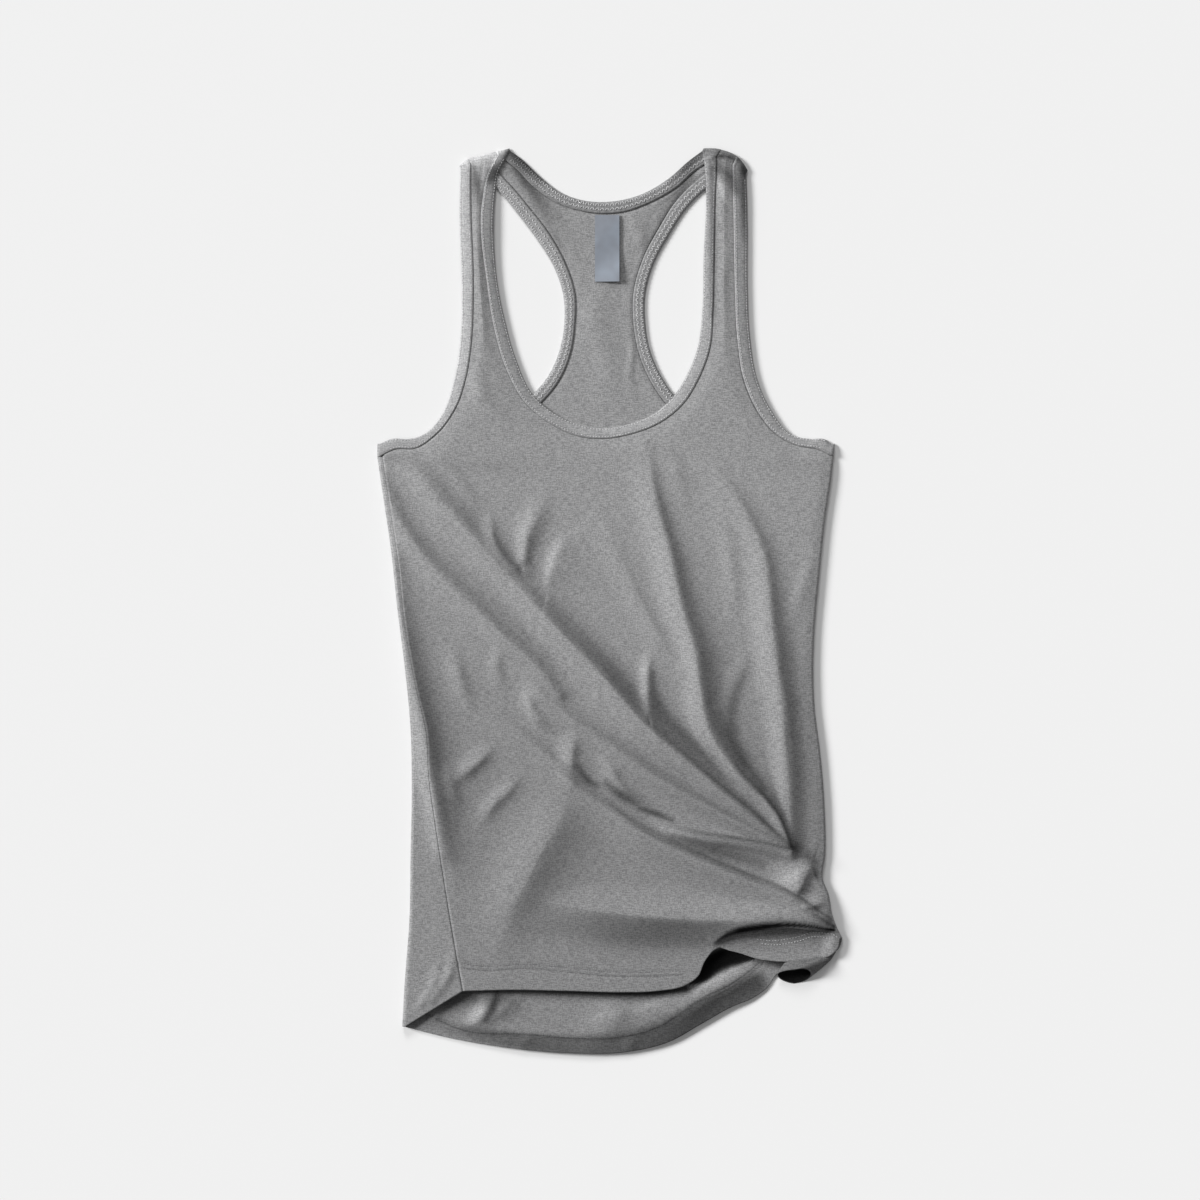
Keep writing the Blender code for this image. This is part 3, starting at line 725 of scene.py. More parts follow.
# Upper row of the hem's stitches: on the side that is turned over, the front and the back.
STRIP_HEM_ROW = ((-176, -327), (-170, -323), (-151, -312.5), (-127, -301.6), (-121, -299))
FRONT_HEM_ROW = (
    (-124, -304), (-111, -306), (-68, -304.5), (-31, -308), (2, -311), (36, -311),
    (52, -310.5), (62, -309.5),
)
BACK_HEM_ROW = (
    (-160, -343), (-148, -350), (-124, -360), (-68, -363.5), (-31, -367), (10, -366), (36.5, -359.5),
    (81, -331), (95, -325), (107, -318), (117, -310.5), (126, -303),
)
BACK_STRAP_COLUMNS = 40
BACK_STRAP_ROWS = 44
BACK_RACER_ROWS = 96
BACK_UNDERARM_COLUMNS = 50
BACK_BODY_ROWS = 190
BACK_BIAS = 0.75  # rows of the body lie closer together towards the hem
BACK_HEM_BIAS = 0.3  # columns lie closer together towards the gathered corner
STRIP_COLUMNS = 56
TURN_STEPS = 8

BACK_CREASES = (
    Fold("strap ridge", "soft", (0.6, 3, 2), (4, 4), (4, 5),
          ((80, 360), (66, 336), (52, 322), (40, 306))),
    Fold("strap trough", "soft", (-0.6, -1.2, -0.4), (8, 8), (8, 8),
          ((60, 345), (45, 325), (34, 300), (26, 275))),
    Fold("label crease", "soft", (0.2, 1.2, 1.4, 0.4), (5, 7), (5, 8),
          ((16, 326), (26, 306), (34, 292), (30, 270))),
    Fold("left crease", "soft", (2, 2.2, 1.2, 0.3), (6, 5), (6, 6),
          ((-72, 352), (-52, 330), (-40, 310), (-30, 290))),
    Fold("left shade", "soft", (-0.6, -0.9, -0.4), (6, 6), (6, 8),
          ((-84, 366), (-62, 336), (-42, 300))),
    Fold("racer bulge", "soft", (0.3, 1.8, 1.5, 0.3), (10, 14), (10, 16),
          ((-8, 270), (-12, 235), (-2, 200), (4, 160))),
    Fold("racer crease", "soft", (0.3, 0.9, 0.7, 0.2), (3, 4), (3, 4),
          ((16, 240), (20, 215), (17, 190), (22, 165))),
    Fold("hem fan", "sharp", (0.4, 2.6, 3, 1), (8, 7), (4, 4),
          ((-94, -324), (-99, -337), (-106, -349), (-120, -358))),
    Fold("hem fan two", "sharp", (0.4, 1.8, 1.4, 0.3), (6, 6), (3.5, 4),
          ((-74, -329), (-81, -342), (-92, -354))),
    Fold("hem fan three", "soft", (0.3, 1.6, 0.4), (5, 5), (4, 4),
          ((-140, -340), (-146, -348), (-156, -356))),
    Fold("hem wave", "soft", (0.5, 2.8, 1.5, 0.5), (16, 16), (10, 10),
          ((16, -332), (4, -348), (-6, -362), (-14, -374))),
    Fold("hem ridge", "soft", (1, 3, 3.4, 2.6, 1), (9, 9), (8, 8),
          ((50, -356), (70, -342), (92, -326), (110, -316), (122, -306))),
    Fold("band wrinkle", "soft", (0.3, 1.4, 0.4), (5, 5), (4, 4), ((24, -366), (18, -372), (14, -378))),
    Fold("band wrinkle two", "soft", (0.3, 1.2, 0.4), (4, 4), (4, 4),
          ((-64, -363), (-70, -370), (-74, -376))),
)
LOWER_SEAMS = [
    spline(points(columns, "seam_x", "seam_y"), SEAM_POINTS)
    for columns in (LEFT_ARM_BACK, RIGHT_ARM_BACK, NECK_BACK)
]


def hem_rise(xy, line):
    """The hem's own extra layer below its upper row of stitches, and a fine groove at each row."""
    off_line, _, side = along_line(xy, spline(np.array(line, float), SEAM_POINTS))
    above = off_line * np.where(side > 0, 1, -1)
    band = HEM_RISE * smooth_step(0.5 - above / HEM_EDGE)
    groove = np.exp(-((above / GROOVE_WIDTH) ** 2))
    groove = groove + np.exp(-(((above + ROW_GAP) / GROOVE_WIDTH) ** 2))
    return band - HEM_GROOVE * groove


def hem_lift(xy):
    """How far the back hem stands off the table: most at its middle, and nothing further in."""
    off_hem = along_line(xy, spline(points(BACK_HEM, "x", "y"), SEAM_POINTS))[0]
    along = smooth_step((xy[..., 0] - LIFT_START[0]) / LIFT_START[1])
    along = along * smooth_step((LIFT_END[0] - xy[..., 0]) / LIFT_END[1])
    return BACK_HEM_LIFT * along * np.exp(-((off_hem / LIFT_WIDTH) ** 2))


def back_height(xy):
    """Height of the lower layer's upper face: creases that fade at bound seams, and the hem."""
    off_seam = np.min([along_line(xy, seam)[0] for seam in LOWER_SEAMS], axis=0)
    creases = sum(fold_heights(xy, BACK_CREASES)) * smooth_step(off_seam / CREASE_FADE)
    dip = LOWER_DIP[0] * np.exp(-((off_seam / LOWER_DIP[1]) ** 2))
    top = BACK_TOP + np.maximum(creases, LOWEST_CREASE) - dip
    return top + hem_rise(xy, BACK_HEM_ROW) + hem_lift(xy)


# Painted shade and light along lines: darkness and half widths along each, and how crisp its
# edge is. Above 0 the darkness is painted shade where little light gets in, below 0 painted light.
Shade = namedtuple("Shade", "name darkness half_widths crispness line")
SHOULDER_SHADES = (
    Shade("left shoulder light", (-0.05, -0.7, -0.9, -0.4), (5, 7, 7, 5), 2,
          ((-124, 364), (-115.5, 370.5), (-100.5, 372), (-87, 377))),
    Shade("left shoulder crease", (0.3, 0.6, 0.25), (2, 4.5, 4), 2,
          ((-113.5, 364), (-112, 353.5), (-110.5, 337))),
    Shade("left shoulder streak", (-0.3, -0.7, -0.3), (2, 2.4, 1.8), 2,
          ((-105, 367), (-106, 357), (-108, 343))),
    Shade("left neck binding", (0.3, 0.65, 0.6), (3, 4.5, 4), 3,
          ((-93, 366), (-96.5, 360), (-100, 353))),
    Shade("left neck turn", (0.75, 0.72, 0.5), (9, 9, 7), 3, ((-79, 376), (-71, 369), (-58, 357))),
    Shade("right shoulder", (0.4, 0.45, 0.5, 0.6), (4, 4, 4, 4), 2,
          ((79.5, 377), (94.5, 376), (108, 370.5), (114, 360.5))),
    Shade("right shoulder lip", (0.4, 0.75, 0.7, 0.4), (1.4, 1.6, 1.6, 1.4), 2,
          ((83, 368.5), (91, 372.5), (99.5, 372), (108, 368.5))),
    Shade("right shoulder hollow", (0.5, 0.62, 0.5), (6, 6.5, 5), 2,
          ((89.5, 364), (99.5, 358), (105.5, 345))),
    Shade("right strap light", (-0.2, -0.6, -0.25), (1.8, 2.3, 1.6), 2,
          ((92, 353), (94, 344), (98, 333))),
    Shade("right arm binding", (0.6, 0.6, 0.3), (4, 3.6, 3), 2, ((111.5, 362), (112, 341), (113, 303))),
    Shade("right neck binding", (0.5, 0.45, 0.4, 0.3), (3, 3.2, 3.4, 3.4), 2,
          ((85.5, 362), (86, 332), (86.5, 290), (86.5, 240))),
    Shade("right neck turn", (0.3, 0.7, 0.8), (6, 6, 6), 3, ((52, 356), (64, 367), (73, 377))),
)
FRONT_SHADES = SHOULDER_SHADES + (
    Shade("under the gather", (0.5, 0.97, 0.98, 0.98, 0.97, 0.95), (1.2, 3.4, 3.2, 2.2, 1.7, 1.4), 4,
          ((91, -285), (95, -281.5), (102, -277.5), (111, -275), (124, -273), (137, -271.5),
           (152, -271), (168, -272.5), (188, -276))),
    Shade("above the flap", (0.3, 0.5, 0.3), (3, 4, 3), 2,
          ((98, -278), (120, -272), (153, -269.5), (180, -272))),
    Shade("below the hem crest", (0.08, 0.2, 0.34, 0.34, 0.3), (9, 10, 10, 9, 8), 2,
          ((-50, -273), (-10, -279), (30, -283), (75, -284), (96, -281))),
    Shade("beside the right crease", (0.1, 0.3, 0.1), (2, 2.2, 3), 2,
          ((144, -80), (148, -120), (150, -150))),
    Shade("beside the long crease", (0.1, 0.35, 0.4), (1, 1.1, 1.1), 2,
          ((28, -97), (70, -134), (92, -153), (130, -185), (153, -206))),
    Shade("beside the centre crease", (0.1, 0.6, 0.4), (1.2, 1.6, 1.1), 2,
          ((100, -130), (113, -146), (128, -161), (140, -176), (153, -205))),
    Shade("valley of the wedge", (0.25, 0.45, 0.45, 0.35, 0.2), (2, 5.5, 6, 4.5, 3), 2,
          ((34, -56), (40, -83), (53, -102), (76, -125), (104, -152))),
    Shade("first pocket", (0.35, 0.65, 0.5), (3, 4, 3), 2,
          ((-26.5, -138), (-19.7, -148.7), (-11.3, -154.6))),
    Shade("second pocket", (0.45, 0.7, 0.5), (3, 5, 4), 2, ((-3, -153), (10.5, -163), (22.3, -169.7))),
    Shade("third pocket", (0.6, 0.75, 0.5), (2.2, 2.6, 2), 2,
          ((25.6, -174), (38.2, -178), (52.5, -184))),
    Shade("lit facet", (-0.15, -0.4, -0.45), (4.5, 7, 5), 2, ((130, -236), (149, -234), (164, -225))),
    Shade("front hem row", (0.2, 0.2), (0.9, 0.9), 2,
          ((-124, -304), (-111, -306), (-68, -304.5), (-31, -308), (2, -311), (36, -311),
           (62, -309.5))),
    Shade("front hem second row", (0.2, 0.2), (0.9, 0.9), 2,
          ((-124, -307.4), (-111, -309.4), (-68, -308), (-31, -311.4), (2, -314.4), (36, -314.4),
           (62, -313))),
    Shade("beside the tongue", (0.1, 0.5, 0.5), (1, 1.2, 1.2), 2,
          ((52, -189), (84, -195), (118, -200), (150, -207))),
    Shade("tongue light", (-0.25, -0.35, -0.3, -0.2), (2, 2.2, 2, 1.8), 2,
          ((43, -190), (58, -194), (84, -200.5), (120, -206), (148, -212))),
    Shade("below the tongue", (0.25, 0.5, 0.36), (4, 6, 5), 2, ((52, -199), (90, -210), (128, -221))),
    Shade("beside the lower crease", (0.1, 0.35, 0.5), (1, 1.2, 1.2), 2,
          ((-8, -166), (40, -194), (100, -222), (156, -246), (186, -267))),
    Shade("knot pocket", (0.6, 0.8, 0.3), (1.6, 2.2, 1.2), 2,
          ((171, -224), (172.5, -229), (175, -234))),
    Shade("gather pocket", (0.3, 0.7, 0.7), (1.2, 2, 1.6), 2, ((170, -262), (179, -267), (188, -273))),
    Shade("under the left arm", (0.3, 0.1), (5, 5), 2, ((-184, 121), (-165, 118))),
    Shade("across the chest", (0.03, 0.1, 0.03), (6, 6, 6), 2, ((-140, 114), (-95, 112), (-50, 115))),
    Shade("right of the chest", (0.08, 0.08), (6, 5), 2, ((144, 116), (176, 112))),
    Shade("chest streak", (0.1, 0.35, 0.2), (2, 3, 2), 2, ((-97, 66), (-94, 48), (-84, 34), (-72, 20))),
    Shade("second chest streak", (0.1, 0.22, 0.2), (4, 5, 4), 2,
          ((-48, 80), (-57, 58), (-66, 40), (-66, 22))),
    Shade("right valley", (0.1, 0.3, 0.45, 0.45, 0.3), (4, 6, 7, 5, 3), 2,
          ((107, -55), (98, -80), (97, -102), (108, -126), (130, -158))),
)
BACK_SHADES = (
    Shade("left back strap", (0.65, 0.55, 0.3), (6, 7, 6), 2, ((-78, 364), (-60, 335), (-43, 297))),
    Shade("left back light", (-0.2, -0.5, -0.3), (3.5, 4, 4), 2, ((-72, 345), (-54, 318), (-44, 290))),
    Shade("right back strap", (0.5, 0.5, 0.45, 0.2), (5, 6, 6, 5), 2,
          ((68, 357), (53, 332), (38, 303), (30, 278))),
    Shade("right back light", (-0.1, -0.5, -0.3), (2, 2.6, 2.4), 2, ((76, 358), (62, 338), (52, 322))),
    Shade("hem fan shade", (0.5, 0.6, 0.4), (2.5, 3.5, 3.5), 2,
          ((-94.5, -328), (-98, -340), (-104, -351))),
    Shade("hem fan second shade", (0.4, 0.5, 0.3), (3, 3.5, 3), 2,
          ((-80, -336), (-88, -346), (-98, -354))),
    Shade("hem fan light", (-0.3, -0.6, -0.4), (5, 6, 5), 2,
          ((-108, -333), (-110, -342), (-116, -352))),
    Shade("under the lifted hem", (0.9, 0.97, 0.98, 0.98, 0.97, 0.95), (2, 6, 10, 10.5, 7.5, 2.5), 8,
          ((68, -321), (78, -315), (88, -304), (96, -300), (105, -299), (120, -299.5))),
    Shade("under the gathered end", (0.5, 0.7, 0.85), (2.5, 3, 3), 2,
          ((122, -301), (145, -306), (150, -308))),
    Shade("under the front hem", (0.4, 0.7, 0.85, 0.9, 0.9), (3, 3.4, 3.8, 4, 4.6), 2,
          ((-123, -328), (-84, -328), (-31, -329), (10, -330), (39, -329), (64, -325))),
    Shade("left of the hem", (0.6, 0.55, 0.3), (7, 8, 7), 2, ((-138, -336), (-112, -333), (-86, -334))),
    Shade("hem band", (0.2, 0.5, 0.6, 0.56, 0.66, 0.75, 0.74, 0.7), (6, 7, 8, 10, 14, 15, 13, 11), 4,
          ((-140, -357), (-84, -368.5), (-31, -374), (10, -374), (44, -366), (81, -344), (104, -332),
           (122, -322))),
    Shade("hem stitches", (0.3, 0.55, 0.55, 0.5), (0.9, 0.9, 0.9, 0.9), 2,
          ((-158, -344.5), (-124, -360.5), (-68, -364), (-31, -367.5), (10, -366.5), (36.5, -360),
           (81, -331.5), (107, -318.5), (126, -303.5))),
    Shade("inside the left corner", (0.4, 0.3, 0.1), (7, 8, 6), 2,
          ((-168, -353), (-145, -345), (-118, -336))),
    Shade("above the hem band", (-0.1, -0.3, -0.4, -0.3), (6, 5, 4, 4), 2,
          ((-20, -352), (26, -341), (68, -325), (104, -309))),
)
FOLD_SHADE = 0.040  # darkness beyond a sharp fold for each millimetre of its height
VALLEY_WIDTH = (1.3, 1.5)  # its width: times the fold's own width there, and plus this
CREST_WIDTH = 1.2  # and how far it runs back over the crest
SHADE_POINTS = 20  # points along a shaded line
HEMWARD_SHADE = (0.2, 60, 260)  # painted shade: how much darker, from which y down, and over what distance


def line_shade(xy, shades):
    """Each shaded line's bell taken off a full light of 1."""
    light = np.ones(xy.shape[:-1])
    for shade in shades:
        distance, share, _ = along_line(xy, spline(np.array(shade.line, float), SHADE_POINTS))
        reach = distance / part_way(share, shade.half_widths)
        light *= 1 - part_way(share, shade.darkness) * np.exp(-(reach**shade.crispness))
    return light


def fold_shade(xy):
    """Light lost in the valley beyond each sharp fold, the more the higher the fold."""
    light, open_side = np.ones(xy.shape[:-1]), smooth_step(from_side(xy) / SIDE_FADE)
    for fold in MAIN_FOLDS:
        distance, share, side = along_line(xy, spline(np.array(fold.line, float), FOLD_POINTS))
        width = VALLEY_WIDTH[0] * part_way(share, fold.fall_widths) + VALLEY_WIDTH[1]
        reach = np.where(side > 0, distance / width, distance / CREST_WIDTH)
        darkness = FOLD_SHADE * part_way(share, fold.heights) * open_side
        light *= 1 - darkness * np.exp(-(reach**2)) * (fold.kind == "sharp")
    return light


def hemward_painted_shade(xy):
    """Painted shade: none over the chest, and a little darker towards the gathered hem."""
    deeper, start, distance = HEMWARD_SHADE
    return 1 - deeper * smooth_step((start - xy[..., 1]) / distance)


def stacked(face, other):
    """Rows of six numbers: a point of one face and the point of the other face behind it."""
    return np.concatenate([face, other], axis=-1)


# Where a strap folds over at the shoulder it bulges: how far, from the arm's edge to the neck's.
SHOULDER_BULGE = {
    "left": (0.2, 2.6, 3.6, 3.4, 2.8, 2.2, 1.6, 1.0, 0.3, 0),
    "right": (0.3, 3, 5, 6.2, 6.6, 6.4, 5.6, 4.4, 2.4, 0),
}


def shoulder_bulge(xy):
    """How far past its plain turn the cloth bulges at a point of a shoulder fold."""
    side, arm = ("left", LEFT_ARM_FRONT) if xy[0, 0] < 0 else ("right", RIGHT_ARM_FRONT)
    neck = NECK_FRONT if side == "left" else NECK_RIGHT_END
    start = np.array([arm["edge_x"][0], arm["edge_y"][0]])
    end = np.array([neck["edge_x"][0], neck["edge_y"][0]])
    share = (xy - start) @ (end - start) / ((end - start) @ (end - start))
    return part_way(share, SHOULDER_BULGE[side])[:, None]


def turn_reach(edge, outward):
    """How far an edge turns out: the plain turn, and at a shoulder its bulge too."""
    return TURN + (shoulder_bulge(edge[:, :2]) if abs(outward[1]) > 0.1 else 0)


def turn_over(edge, outward, bottom, steps=TURN_STEPS):
    """Rows that carry an upper edge of both faces out, round and down on to the lower layer.

    The outer face swings through half a turn of its own height, and the inner one
    through a tighter half turn inside it that ends at the height `bottom`.
    """
    angle = np.linspace(0, np.pi, steps + 1)[1:, None]
    outer_height = edge[:, 5] / 2 * (1 + np.cos(angle))
    inner_height = bottom + (edge[:, 2] - bottom) / 2 * (1 + np.cos(angle))
    swing = np.sin(angle)[..., None] * np.asarray(outward)
    reach = turn_reach(edge, outward)
    outer = raised(edge[None, :, :2] + reach * swing, outer_height)
    inner = raised(edge[None, :, :2] + (reach - WALL) * swing, inner_height)
    return stacked(inner, outer)


def back_grids():
    """Straps, racerback and body on the table, and the side that turns on to the front."""
    columns, yoke = BACK_STRAP_COLUMNS, BACK_STRAP_ROWS
    racer_end = yoke + BACK_RACER_ROWS
    count = racer_end + BACK_UNDERARM_COLUMNS + 1
    left_arm = seam_line(LEFT_ARM_BACK, LEFT_SHOULDER_OUT, LEFT_OUT, count)
    right_arm = seam_line(RIGHT_ARM_BACK, RIGHT_SHOULDER_OUT, RIGHT_OUT, count)
    neck = seam_line(NECK_BACK, LEFT_SHOULDER_OUT, RIGHT_SHOULDER_OUT, 2 * yoke + 1)
    left_strap = ruled(left_arm[: yoke + 1], neck[: yoke + 1], columns)
    right_strap = ruled(neck[: yoke - 1 : -1], right_arm[: yoke + 1], columns)
    split = np.concatenate([left_strap[-1], right_strap[-1, 1:]])
    waist = ruled(left_arm[racer_end], right_arm[racer_end], 2 * columns)
    left_racer, right_racer = left_arm[yoke : racer_end + 1], right_arm[yoke : racer_end + 1]
    racer = coons(left_racer, right_racer, split, waist)
    top = underarm_row(left_arm[racer_end:], waist, waist[-1:], right_arm[racer_end:])
    side = spline(points(LEFT_SIDE, "x", "y"), BACK_BODY_ROWS + 1, BACK_BIAS) + (TURN, 0)
    right = spline(points(RIGHT_SIDE, "x", "y"), BACK_BODY_ROWS + 1, BACK_BIAS)
    bottom = spline(points(BACK_HEM, "x", "y"), len(top), BACK_HEM_BIAS)
    side[0], right[0], bottom[0], right[-1] = top[0], top[-1], side[-1], bottom[-1]
    body = coons(side, right, top, bottom)
    lower = [
        stacked(raised(grid, back_height(grid)), raised(grid, hem_lift(grid)))
        for grid in (left_strap, right_strap, racer, body)
    ]
    seam = spline(points(LEFT_SEAM, "x", "y"), BACK_BODY_ROWS + 1, BACK_BIAS)
    seam[0, 1] = side[0, 1]
    strip = ruled(side, seam, STRIP_COLUMNS)
    height = top_height(strip) + hem_rise(strip, STRIP_HEM_ROW)
    strip = stacked(raised(strip, height - WALL), raised(strip, height))
    turned = turn_over(strip[:, 0], LEFT_OUT, lower[3][:, 0, 2])
    return lower + [strip, np.concatenate([strip[None, :, 0], turned])]


def welded(grids):
    """Grids of points as one surface: its points, and for each grid its points' numbers.

    Points that agree to a thousandth of a millimetre become one.
    """
    flat = np.concatenate([grid.reshape(-1, grid.shape[-1]) for grid in grids])
    rounded = np.round(flat[:, :3], 3)
    _, first, number = np.unique(rounded, axis=0, return_index=True, return_inverse=True)
    ends = np.cumsum([grid.shape[0] * grid.shape[1] for grid in grids])[:-1]
    parts = np.split(number.reshape(-1), ends)
    return flat[first], [part.reshape(grid.shape[:2]) for part, grid in zip(parts, grids)]


def quads(number):
    """Four corners for each cell of a grid of point numbers."""
    corners = [number[1:, :-1], number[1:, 1:], number[:-1, 1:], number[:-1, :-1]]
    return np.stack(corners, axis=-1).reshape(-1, 4)


def closed_faces(numbers, count, step):
    """Faces of a closed shell whose second face has its points after the first `count`.

    The second face takes every `step`-th row and column. Where the first one has a
    free edge, faces of step + 3 corners join the two.
    """
    fine = np.concatenate([quads(number) for number in numbers])
    coarse = np.concatenate([quads(number[::step, ::step]) for number in numbers]) + count
    edges = np.sort(np.concatenate([fine[:, [k, (k + 1) % 4]] for k in range(4)]), axis=1)
    key, uses = np.unique(edges[:, 0].astype(np.int64) * count + edges[:, 1], return_counts=True)
    free = key[uses == 1]
    rim = []
    for number in numbers:
        for line in (number[0], number[-1, ::-1], number[::-1, 0], number[:, -1]):
            stretches = [line[k : len(line) - step + k : step] for k in range(step + 1)]
            a, b = stretches[0], stretches[1]
            on_rim = np.isin(np.minimum(a, b).astype(np.int64) * count + np.maximum(a, b), free)
            corners = stretches + [stretches[-1] + count, a + count]
            rim.append(np.stack(corners, axis=-1)[on_rim & (a != b)])
    return [*fine.tolist(), *coarse[:, ::-1].tolist(), *np.concatenate(rim).tolist()]


def make_piece(name, place, faces, material, shade=None):
    """A mesh piece from points in millimetres, its faces turned outward and its UV map in metres.

    The shade of each point, 1 where none is given, is painted shade below 1, where little light gets in, and
    painted light above 1.
    """
    shape = bmesh.new()
    # This layer holds each point's painted shade and painted light.
    depth = shape.verts.layers.float.new("shade")
    cloth = shape.loops.layers.uv.new("cloth")
    corners = [shape.verts.new(point) for point in (place * MM).tolist()]
    for face in faces:
        shape.faces.new([corners[k] for k in face])
    for corner, value in zip(corners, np.ones(len(place)) if shade is None else shade):
        corner[depth] = value
    loose = [corner for corner in shape.verts if not corner.link_faces]
    bmesh.ops.delete(shape, geom=loose, context="VERTS")
    bmesh.ops.recalc_face_normals(shape, faces=shape.faces)
    for face in shape.faces:
        for loop in face.loops:
            loop[cloth].uv = loop.vert.co.xy
    mesh = bpy.data.meshes.new(name)
    shape.to_mesh(mesh)
    shape.free()
    mesh.materials.append(material)
    mesh.shade_smooth()
    piece = bpy.data.objects.new(name, mesh)
    bpy.context.scene.collection.objects.link(piece)
    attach(piece, "root")
    return piece


back_pairs, back_numbers = welded(back_grids())
# Painted shade on the lower layer: darker towards the hem, along the shaded lines, and softer on its
# underside.
back_shade = hemward_painted_shade(back_pairs[:, :2]) * line_shade(back_pairs[:, :2], BACK_SHADES)
back = make_piece(
    "back_panel_jersey",
    np.concatenate([back_pairs[:, :3], back_pairs[:, 3:]]),
    closed_faces(back_numbers, len(back_pairs), 2),
    JERSEY,
    np.concatenate([back_shade, hemward_painted_shade(back_pairs[:, 3:5]) ** 0.5]),
)
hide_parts("back_panel")


# ------------------------------------------------------------------- front panel
# One piece of single jersey, two straps wide at the top and hemmed at the bottom. It is
# the upper layer. At its lower right it is gathered, and the folds fan out from there.

STRAP_COLUMNS = 92
UNDERARM_COLUMNS = 20
STRAP_ROWS = 92
STRAP_BIAS = 0.5  # rows lie closer together towards the shoulders
BODY_ROWS = 250
ROW_SAG = 12.0  # how far the lowest row of a strap bows down
BODY_BIAS = 0.5  # rows lie closer together towards the hem
HEM_BIAS = 0.5  # columns lie closer together towards the gathered corner
LOWEST_TOP = 2.6
QUARTER_STEPS = 6
BAND_END = (66, 10)  # x at which the front hem's band has gone, and over what distance
TUCK_POINTS = 30  # points along a tuck's line
TUCK_ENDS = (0.06, 0.1)  # shares of the line over which a tuck starts and ends
TUCK_SHIFT = 0.8
TUCK_STEP = 1.6  # width of the step down, in widths of the tuck
TUCK_REACH = 22

# Where the cloth folds back under itself: it overhangs to the left of the line.
Tuck = namedtuple("Tuck", "name overhang drop width line")
TUCKS = (
    Tuck("under the gather", (0.8, 2.4, 3, 3, 2.5), (2, 6, 8.5, 9, 8), 5.0,
         ((86, -290), (96, -281), (106, -276.5), (120, -274), (137, -272), (153, -271.5), (168, -273),
          (190, -276))),
)


def tucked(place):
    """Moves points near a tuck's line sideways, so that the near side hangs over the far side.

    Across the line the shift is the distance times a bell, which past 1 turns the cloth
    back on itself, and the height steps down by the drop on the far side.
    """
    for tuck in TUCKS:
        line = spline(np.array(tuck.line, float), TUCK_POINTS)
        distance, share, side = along_line(place[..., :2], line)
        away = distance * np.where(side > 0, -1, 1)
        bell = np.exp(-((away / tuck.width) ** 2))
        inside = smooth_step(share / TUCK_ENDS[0]) * smooth_step((1 - share) / TUCK_ENDS[1])
        shift = part_way(share, tuck.overhang) * away * bell * inside
        drop = part_way(share, tuck.drop) * inside
        place[..., 1] += shift * TUCK_SHIFT
        step = 0.5 - smooth_step(away / tuck.width / TUCK_STEP + 0.5)
        place[..., 2] += drop * step * np.exp(-((away / TUCK_REACH) ** 2))
    return place


def sagged(strap):
    """The strap's rows bowed down, the more the lower they lie, to follow the neck's curve."""
    share = np.linspace(0, 1, strap.shape[1])[None]
    lowness = np.linspace(0, 1, len(strap))[:, None] ** 2
    strap[..., 1] -= ROW_SAG * 4 * share * (1 - share) * lowness
    return strap


def quarter_turn(edge, outward, lowest):
    """Rows that carry an edge out and down a quarter turn, to a height over the lower layer."""
    angle = np.linspace(0, np.pi / 2, QUARTER_STEPS + 1)[1:, None]
    height = lowest + (edge[:, 2] - lowest) * np.cos(angle)
    reach = turn_reach(edge, outward) * np.sin(angle)[..., None] * np.asarray(outward)
    return raised(edge[None, :, :2] + reach, height)


def front_grids():
    """Two straps that join at the neck, and the body down to the hem, with its turned edges."""
    columns, rows = STRAP_COLUMNS, STRAP_ROWS
    count = rows + UNDERARM_COLUMNS + 1
    left_arm = seam_line(LEFT_ARM_FRONT, LEFT_SHOULDER_OUT, LEFT_OUT, count, -STRAP_BIAS)
    right_arm = seam_line(RIGHT_ARM_FRONT, RIGHT_SHOULDER_OUT, RIGHT_OUT, count, -STRAP_BIAS)
    left_arm[-1] = LEFT_SEAM["x"][0] + SEAM_GAP, LEFT_SEAM["y"][0] - SEAM_GAP
    shoulders = (LEFT_SHOULDER_OUT, RIGHT_SHOULDER_OUT)
    neck = seam_line(NECK_FRONT, *shoulders, 2 * rows + 1, 0, STRAP_BIAS)
    left_strap = sagged(ruled(left_arm[: rows + 1], neck[: rows + 1], columns))
    right_strap = sagged(ruled(neck[: rows - 1 : -1], right_arm[: rows + 1], columns))
    top = underarm_row(left_arm[rows:], left_strap[-1], right_strap[-1], right_arm[rows:])
    left = spline(points(LEFT_SEAM, "x", "y"), BODY_ROWS + 1, BODY_BIAS) + (SEAM_GAP, 0)
    right = spline(points(RIGHT_SIDE, "x", "y"), BODY_ROWS + 1, BODY_BIAS) - (TURN, 0)
    bottom = spline(points(FRONT_HEM, "x", "y"), len(top), HEM_BIAS)
    left[0], right[0], left[-1], right[-1] = top[0], top[-1], bottom[0], bottom[-1]
    body = coons(left, right, top, bottom)
    left_strap, right_strap, body = (
        raised(grid, top_height(grid)) for grid in (left_strap, right_strap, body)
    )
    band = smooth_step((BAND_END[0] - body[..., 0]) / BAND_END[1])
    body[..., 2] += hem_rise(body[..., :2], FRONT_HEM_ROW) * band
    body = tucked(body)
    body[..., 2] = np.maximum(body[..., 2], LOWEST_TOP)
    left_end = quarter_turn(left_strap[0], LEFT_SHOULDER_OUT, BACK_TOP + WALL)[::-1]
    right_end = quarter_turn(right_strap[0], RIGHT_SHOULDER_OUT, BACK_TOP + WALL)[::-1]
    side = quarter_turn(body[:, -1], RIGHT_OUT, BACK_TOP + WALL).swapaxes(0, 1)
    return [
        np.concatenate([left_end, left_strap]),
        np.concatenate([right_end, right_strap]),
        np.concatenate([body, side], axis=1),
    ]


def point_normals(place, faces):
    """Mean of the normals of the faces round each point."""
    across = place[faces[:, 2]] - place[faces[:, 0]]
    down = place[faces[:, 3]] - place[faces[:, 1]]
    square = np.cross(across, down)
    total = np.zeros_like(place)
    for corner in faces.T:
        np.add.at(total, corner, square)
    return total / np.maximum(np.linalg.norm(total, axis=1, keepdims=True), 1e-9)


